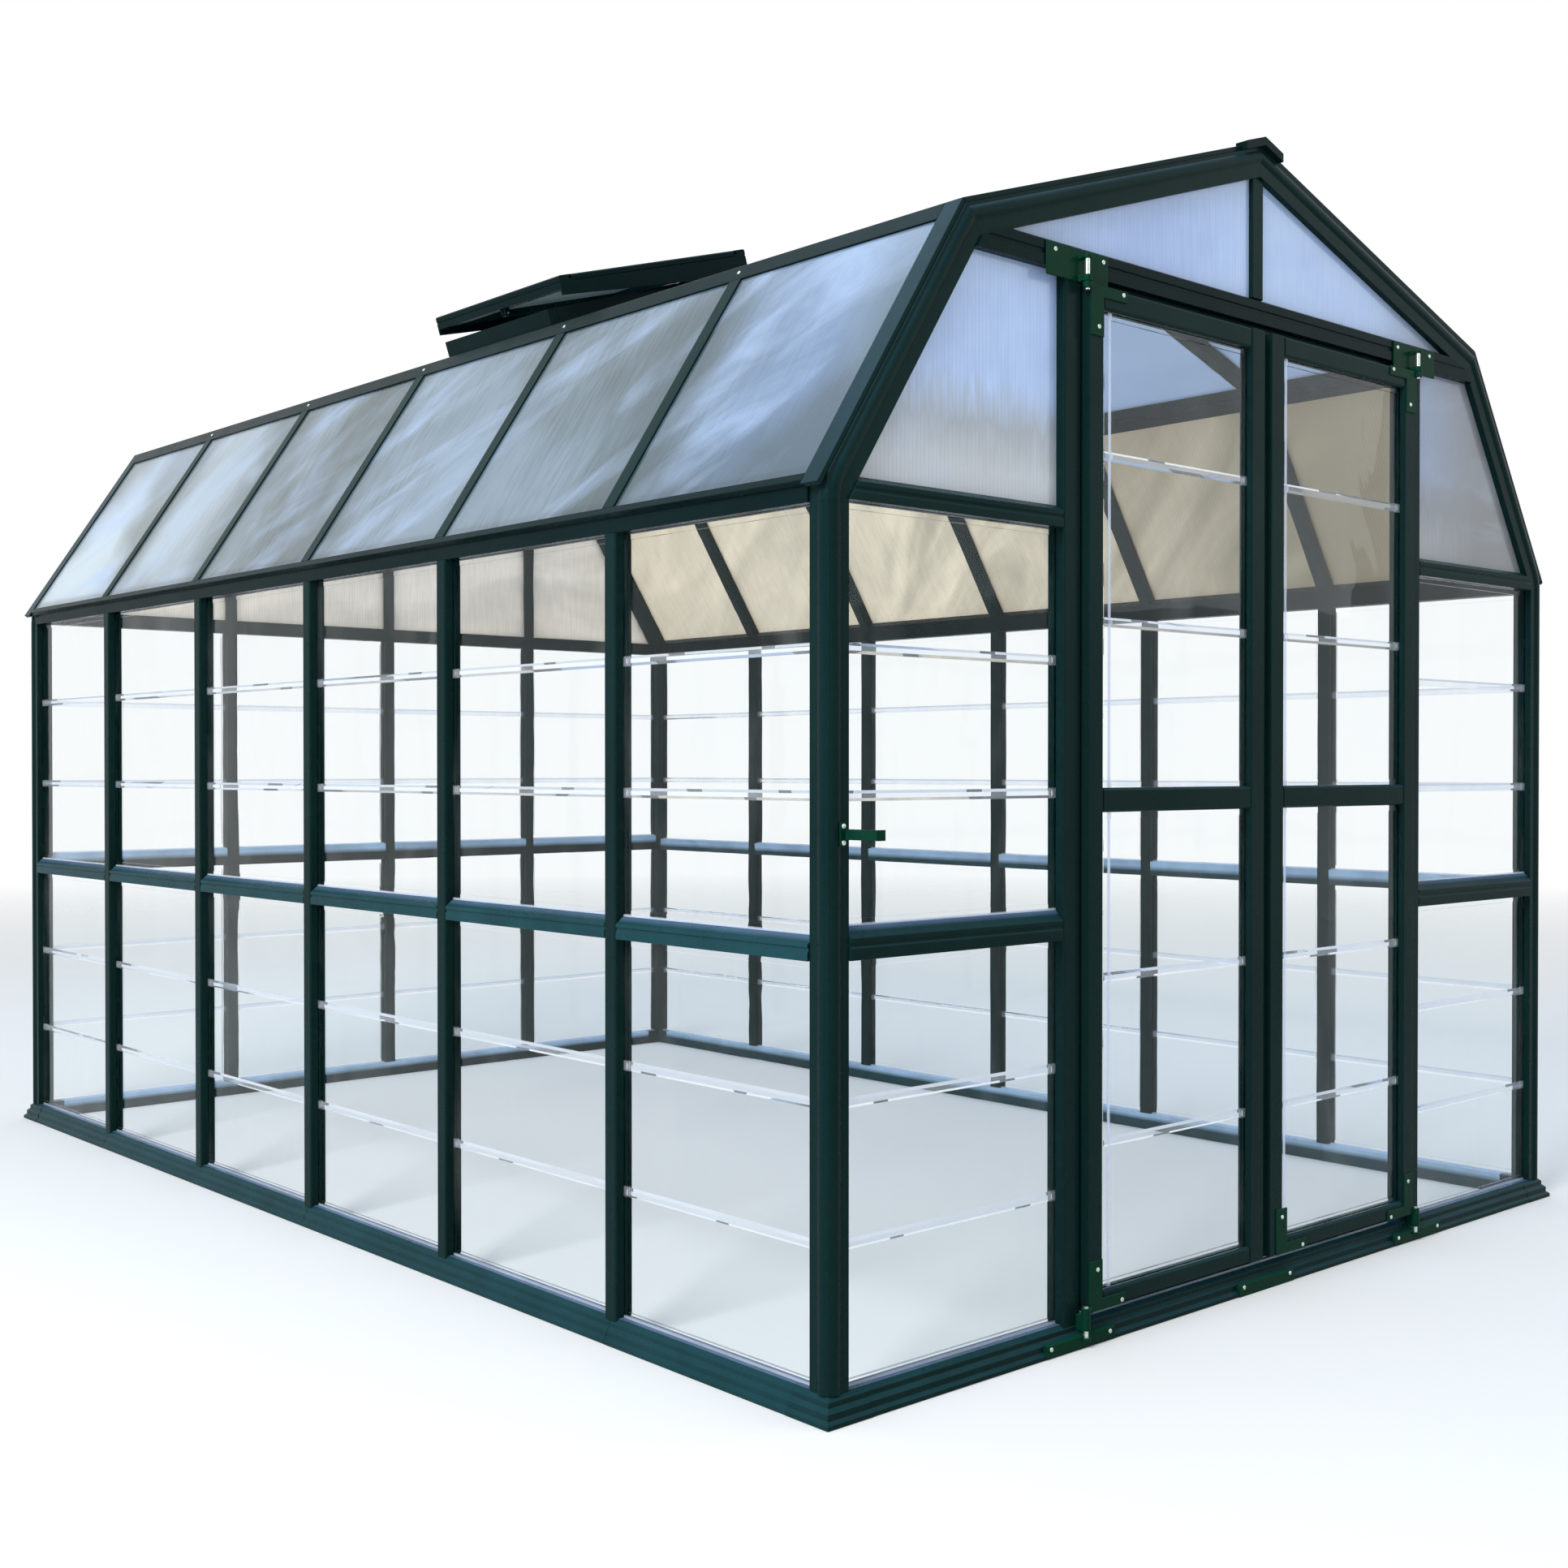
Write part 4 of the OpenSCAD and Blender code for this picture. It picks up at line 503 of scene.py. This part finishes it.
slot_of = {s["node"]: s["material_slot"] for s in frame["record"]["subparts"]}
for name, obj in nodes.items():
    slot = slot_of[name]
    mat = BY_SLOT[slot]
    if slot in ("frame_green", "clear_sheet", "twin_wall"):
        mat = next((m for part, m in BY_NAME if part in name), mat)
    obj.data.materials.clear()
    obj.data.materials.append(mat)
    if slot in ("frame_green", "joint_green"):
        soften(obj)


# Screw heads

MM_PER_M = 1000
HEAD_ANGLE = math.radians(38)
# Radius and height of the rings of a head, then the scale and depth of the cross from its rim inwards
HEAD_PROFILE = ((4.5, 0.0), (4.5, 0.75), (4.36, 1.2), (4.0, 1.65), (3.5, 2.0), (3.0, 2.25), (2.7, 2.36))
CROSS_PROFILE = ((1.0, 2.45), (0.9, 2.3), (0.55, 1.2))
ARM, HALF_ARM = 2.2, 0.55


def cross_outline(scale):
    """24 points round a cross, in order, starting at the end of one arm."""
    a, w = ARM * scale, HALF_ARM * scale
    quarter = [(a, 0.0), (a, w), ((a + w) / 2, w), (w, w), (w, (a + w) / 2), (w, a)]
    return [(c * x - s * y, s * x + c * y) for c, s in ((1, 0), (0, 1), (-1, 0), (0, -1)) for x, y in quarter]


def pan_head(bm, spot, axis, turn):
    """Pan head with a tapering cross recess, its seat at spot, looking along axis."""
    upright = axis.to_track_quat("Z", "Y").to_matrix().to_4x4() @ Matrix.Rotation(turn, 4, "Z")
    matrix = Matrix.Translation(spot) @ upright
    angles = [math.atan2(y, x) for x, y in cross_outline(1.0)]
    rings = [[(r * math.cos(t), r * math.sin(t), z) for t in angles] for r, z in HEAD_PROFILE]
    rings += [[(x, y, z) for x, y in cross_outline(scale)] for scale, z in CROSS_PROFILE]
    loops = [[bm.verts.new(matrix @ Vector(tuple(c / MM_PER_M for c in point))) for point in ring]
             for ring in rings]
    count = len(angles)
    bm.faces.new(reversed(loops[0]))
    for low, high in zip(loops, loops[1:]):
        for i in range(count):
            j = (i + 1) % count
            bm.faces.new((low[i], low[j], high[j], high[i]))
    bm.faces.new(loops[-1])


def connected(bm):
    """Groups of faces that hang together."""
    seen = set()
    for first in bm.faces:
        if first in seen:
            continue
        stack, group = [first], []
        seen.add(first)
        while stack:
            face = stack.pop()
            group.append(face)
            for other in (f for edge in face.edges for f in edge.link_faces):
                if other not in seen:
                    seen.add(other)
                    stack.append(other)
        yield group


def seat_and_axis(group):
    """Middle of a head's largest flat side, on which it sits, and the way that the head looks."""
    areas = {}
    for face in group:
        key = tuple(round(c, 2) for c in face.normal)
        total = areas.setdefault(key, [0.0, Vector((0, 0, 0))])
        total[0] += face.calc_area()
        total[1] += face.calc_center_median() * face.calc_area()
    area, weighted = max(areas.values(), key=lambda total: total[0])
    seat = weighted / area
    corners = [v.co for face in group for v in face.verts]
    middle = sum(corners, Vector((0, 0, 0))) / len(corners)
    return seat, (middle - seat).normalized()


def seats(obj):
    """Seat and direction of every head in a node of screws, in a steady order."""
    bm = bmesh.new()
    bm.from_mesh(obj.data)
    bmesh.ops.remove_doubles(bm, verts=bm.verts, dist=WELD_GAP)
    rows = [seat_and_axis(group) for group in connected(bm)]
    bm.free()
    return sorted(rows, key=lambda row: tuple(round(c, 4) for c in row[0]))


def screw_heads(name, body):
    bm = bmesh.new()
    for seat, axis in seats(nodes[name]):
        pan_head(bm, seat, axis, rng.uniform(0.0, math.pi))
    bmesh.ops.recalc_face_normals(bm, faces=bm.faces)
    mesh = bpy.data.meshes.new(name + "_heads")
    bm.to_mesh(mesh)
    bm.free()
    mesh.shade_smooth()
    mesh.set_sharp_from_angle(angle=HEAD_ANGLE)
    mesh.materials.append(STEEL)
    obj = bpy.data.objects.new(name + "_heads", mesh)
    bpy.context.scene.collection.objects.link(obj)
    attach(obj, body)
    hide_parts(name)


screw_heads("frame_screws", "frame")
screw_heads("door_left_screws", "door_left")
screw_heads("door_right_screws", "door_right")


# Stage

FLOOR_RADIUS = 40.0
FLOOR_DROP = 0.0005
FLOOR_FADE = (4.0, 14.0)  # distances from the middle between which the floor fades to white
FLOOR_COLOUR = (0.93, 0.93, 0.93, 1)
WORLD_TINT, WORLD_STRENGTH = (0.93, 0.97, 1.0, 1), 0.55
WHITE = (1, 1, 1, 1)
# Name, place, target, size, watts and colour
LIGHTS = (("key", (-7.6, -3.0, 6.2), (0, 0, 1.0), (3.6, 3.6), 600.0, (1.0, 0.985, 0.96)),
          ("sky", (0.0, 0.0, 8.0), (0, 0, 0), (9.0, 9.0), 260.0, (0.62, 0.80, 1.0)),
          ("fill", (5.0, -7.0, 4.0), (0, 0, 1.0), (5.0, 4.0), 60.0, (0.92, 0.96, 1.0)))
# The camera solved from the photo: lens and sensor in mm, angles in radians
LENS, SENSOR, SHIFT_UP = 42.5, 36.0, 0.0012
CAMERA_SPOT = (-3.350, -4.0416, 1.097)
LOOKS_DOWN, BEARING = 0.0096, 0.8421
CAMERA_REACH = 200.0


def seen_rays(tree):
    return rays(tree, "Is Camera Ray", "Is Glossy Ray", "Is Transmission Ray")


def make_floor():
    mesh = bpy.data.meshes.new("studio_floor")
    bm = bmesh.new()
    bmesh.ops.create_circle(bm, cap_ends=True, segments=96, radius=FLOOR_RADIUS)
    bm.to_mesh(mesh)
    bm.free()
    obj = bpy.data.objects.new("studio_floor", mesh)
    obj.location = (0, 0, -FLOOR_DROP)
    bpy.context.scene.collection.objects.link(obj)
    mat, tree, bsdf, out = new_material("floor")
    feed(tree, bsdf, {"Base Color": FLOOR_COLOUR, "Roughness": 0.9, "Specular IOR Level": 0.0})
    flat = node(tree, "ShaderNodeVectorMath", {0: coords(tree)}, operation="LENGTH").outputs["Value"]
    fade = times(tree, remap(tree, flat, *FLOOR_FADE), seen_rays(tree))
    clear = node(tree, "ShaderNodeBsdfTransparent")
    feed(tree, out, {"Surface": mix_shader(tree, fade, bsdf.outputs["BSDF"], clear.outputs["BSDF"])})
    obj.data.materials.append(mat)


def make_world():
    world = bpy.data.worlds.new("studio")
    bpy.context.scene.world = world
    world.use_nodes = True
    tree = world.node_tree
    tree.nodes.clear()
    light = node(tree, "ShaderNodeBackground", {"Color": WORLD_TINT, "Strength": WORLD_STRENGTH})
    seen = node(tree, "ShaderNodeBackground", {"Color": WHITE, "Strength": 1.0})
    both = mix_shader(tree, seen_rays(tree), light.outputs["Background"], seen.outputs["Background"])
    node(tree, "ShaderNodeOutputWorld", {"Surface": both})


def area_light(name, spot, target, size, power, colour):
    data = bpy.data.lights.new(name, "AREA")
    data.shape = "RECTANGLE"
    data.size, data.size_y = size
    data.energy = power
    data.color = colour
    obj = bpy.data.objects.new(name, data)
    obj.location = spot
    obj.rotation_euler = (Vector(target) - Vector(spot)).to_track_quat("-Z", "Y").to_euler()
    bpy.context.scene.collection.objects.link(obj)


def make_camera():
    data = bpy.data.cameras.new("camera")
    data.lens = LENS
    data.sensor_width = SENSOR
    data.clip_end = CAMERA_REACH
    data.shift_y = SHIFT_UP
    obj = bpy.data.objects.new("camera", data)
    obj.location = CAMERA_SPOT
    obj.rotation_euler = (math.pi / 2 - LOOKS_DOWN, 0.0, BEARING - math.pi / 2)
    bpy.context.scene.collection.objects.link(obj)
    bpy.context.scene.camera = obj


make_floor()
make_world()
for light in LIGHTS:
    area_light(*light)
make_camera()
bpy.context.scene.view_settings.view_transform = "Standard"
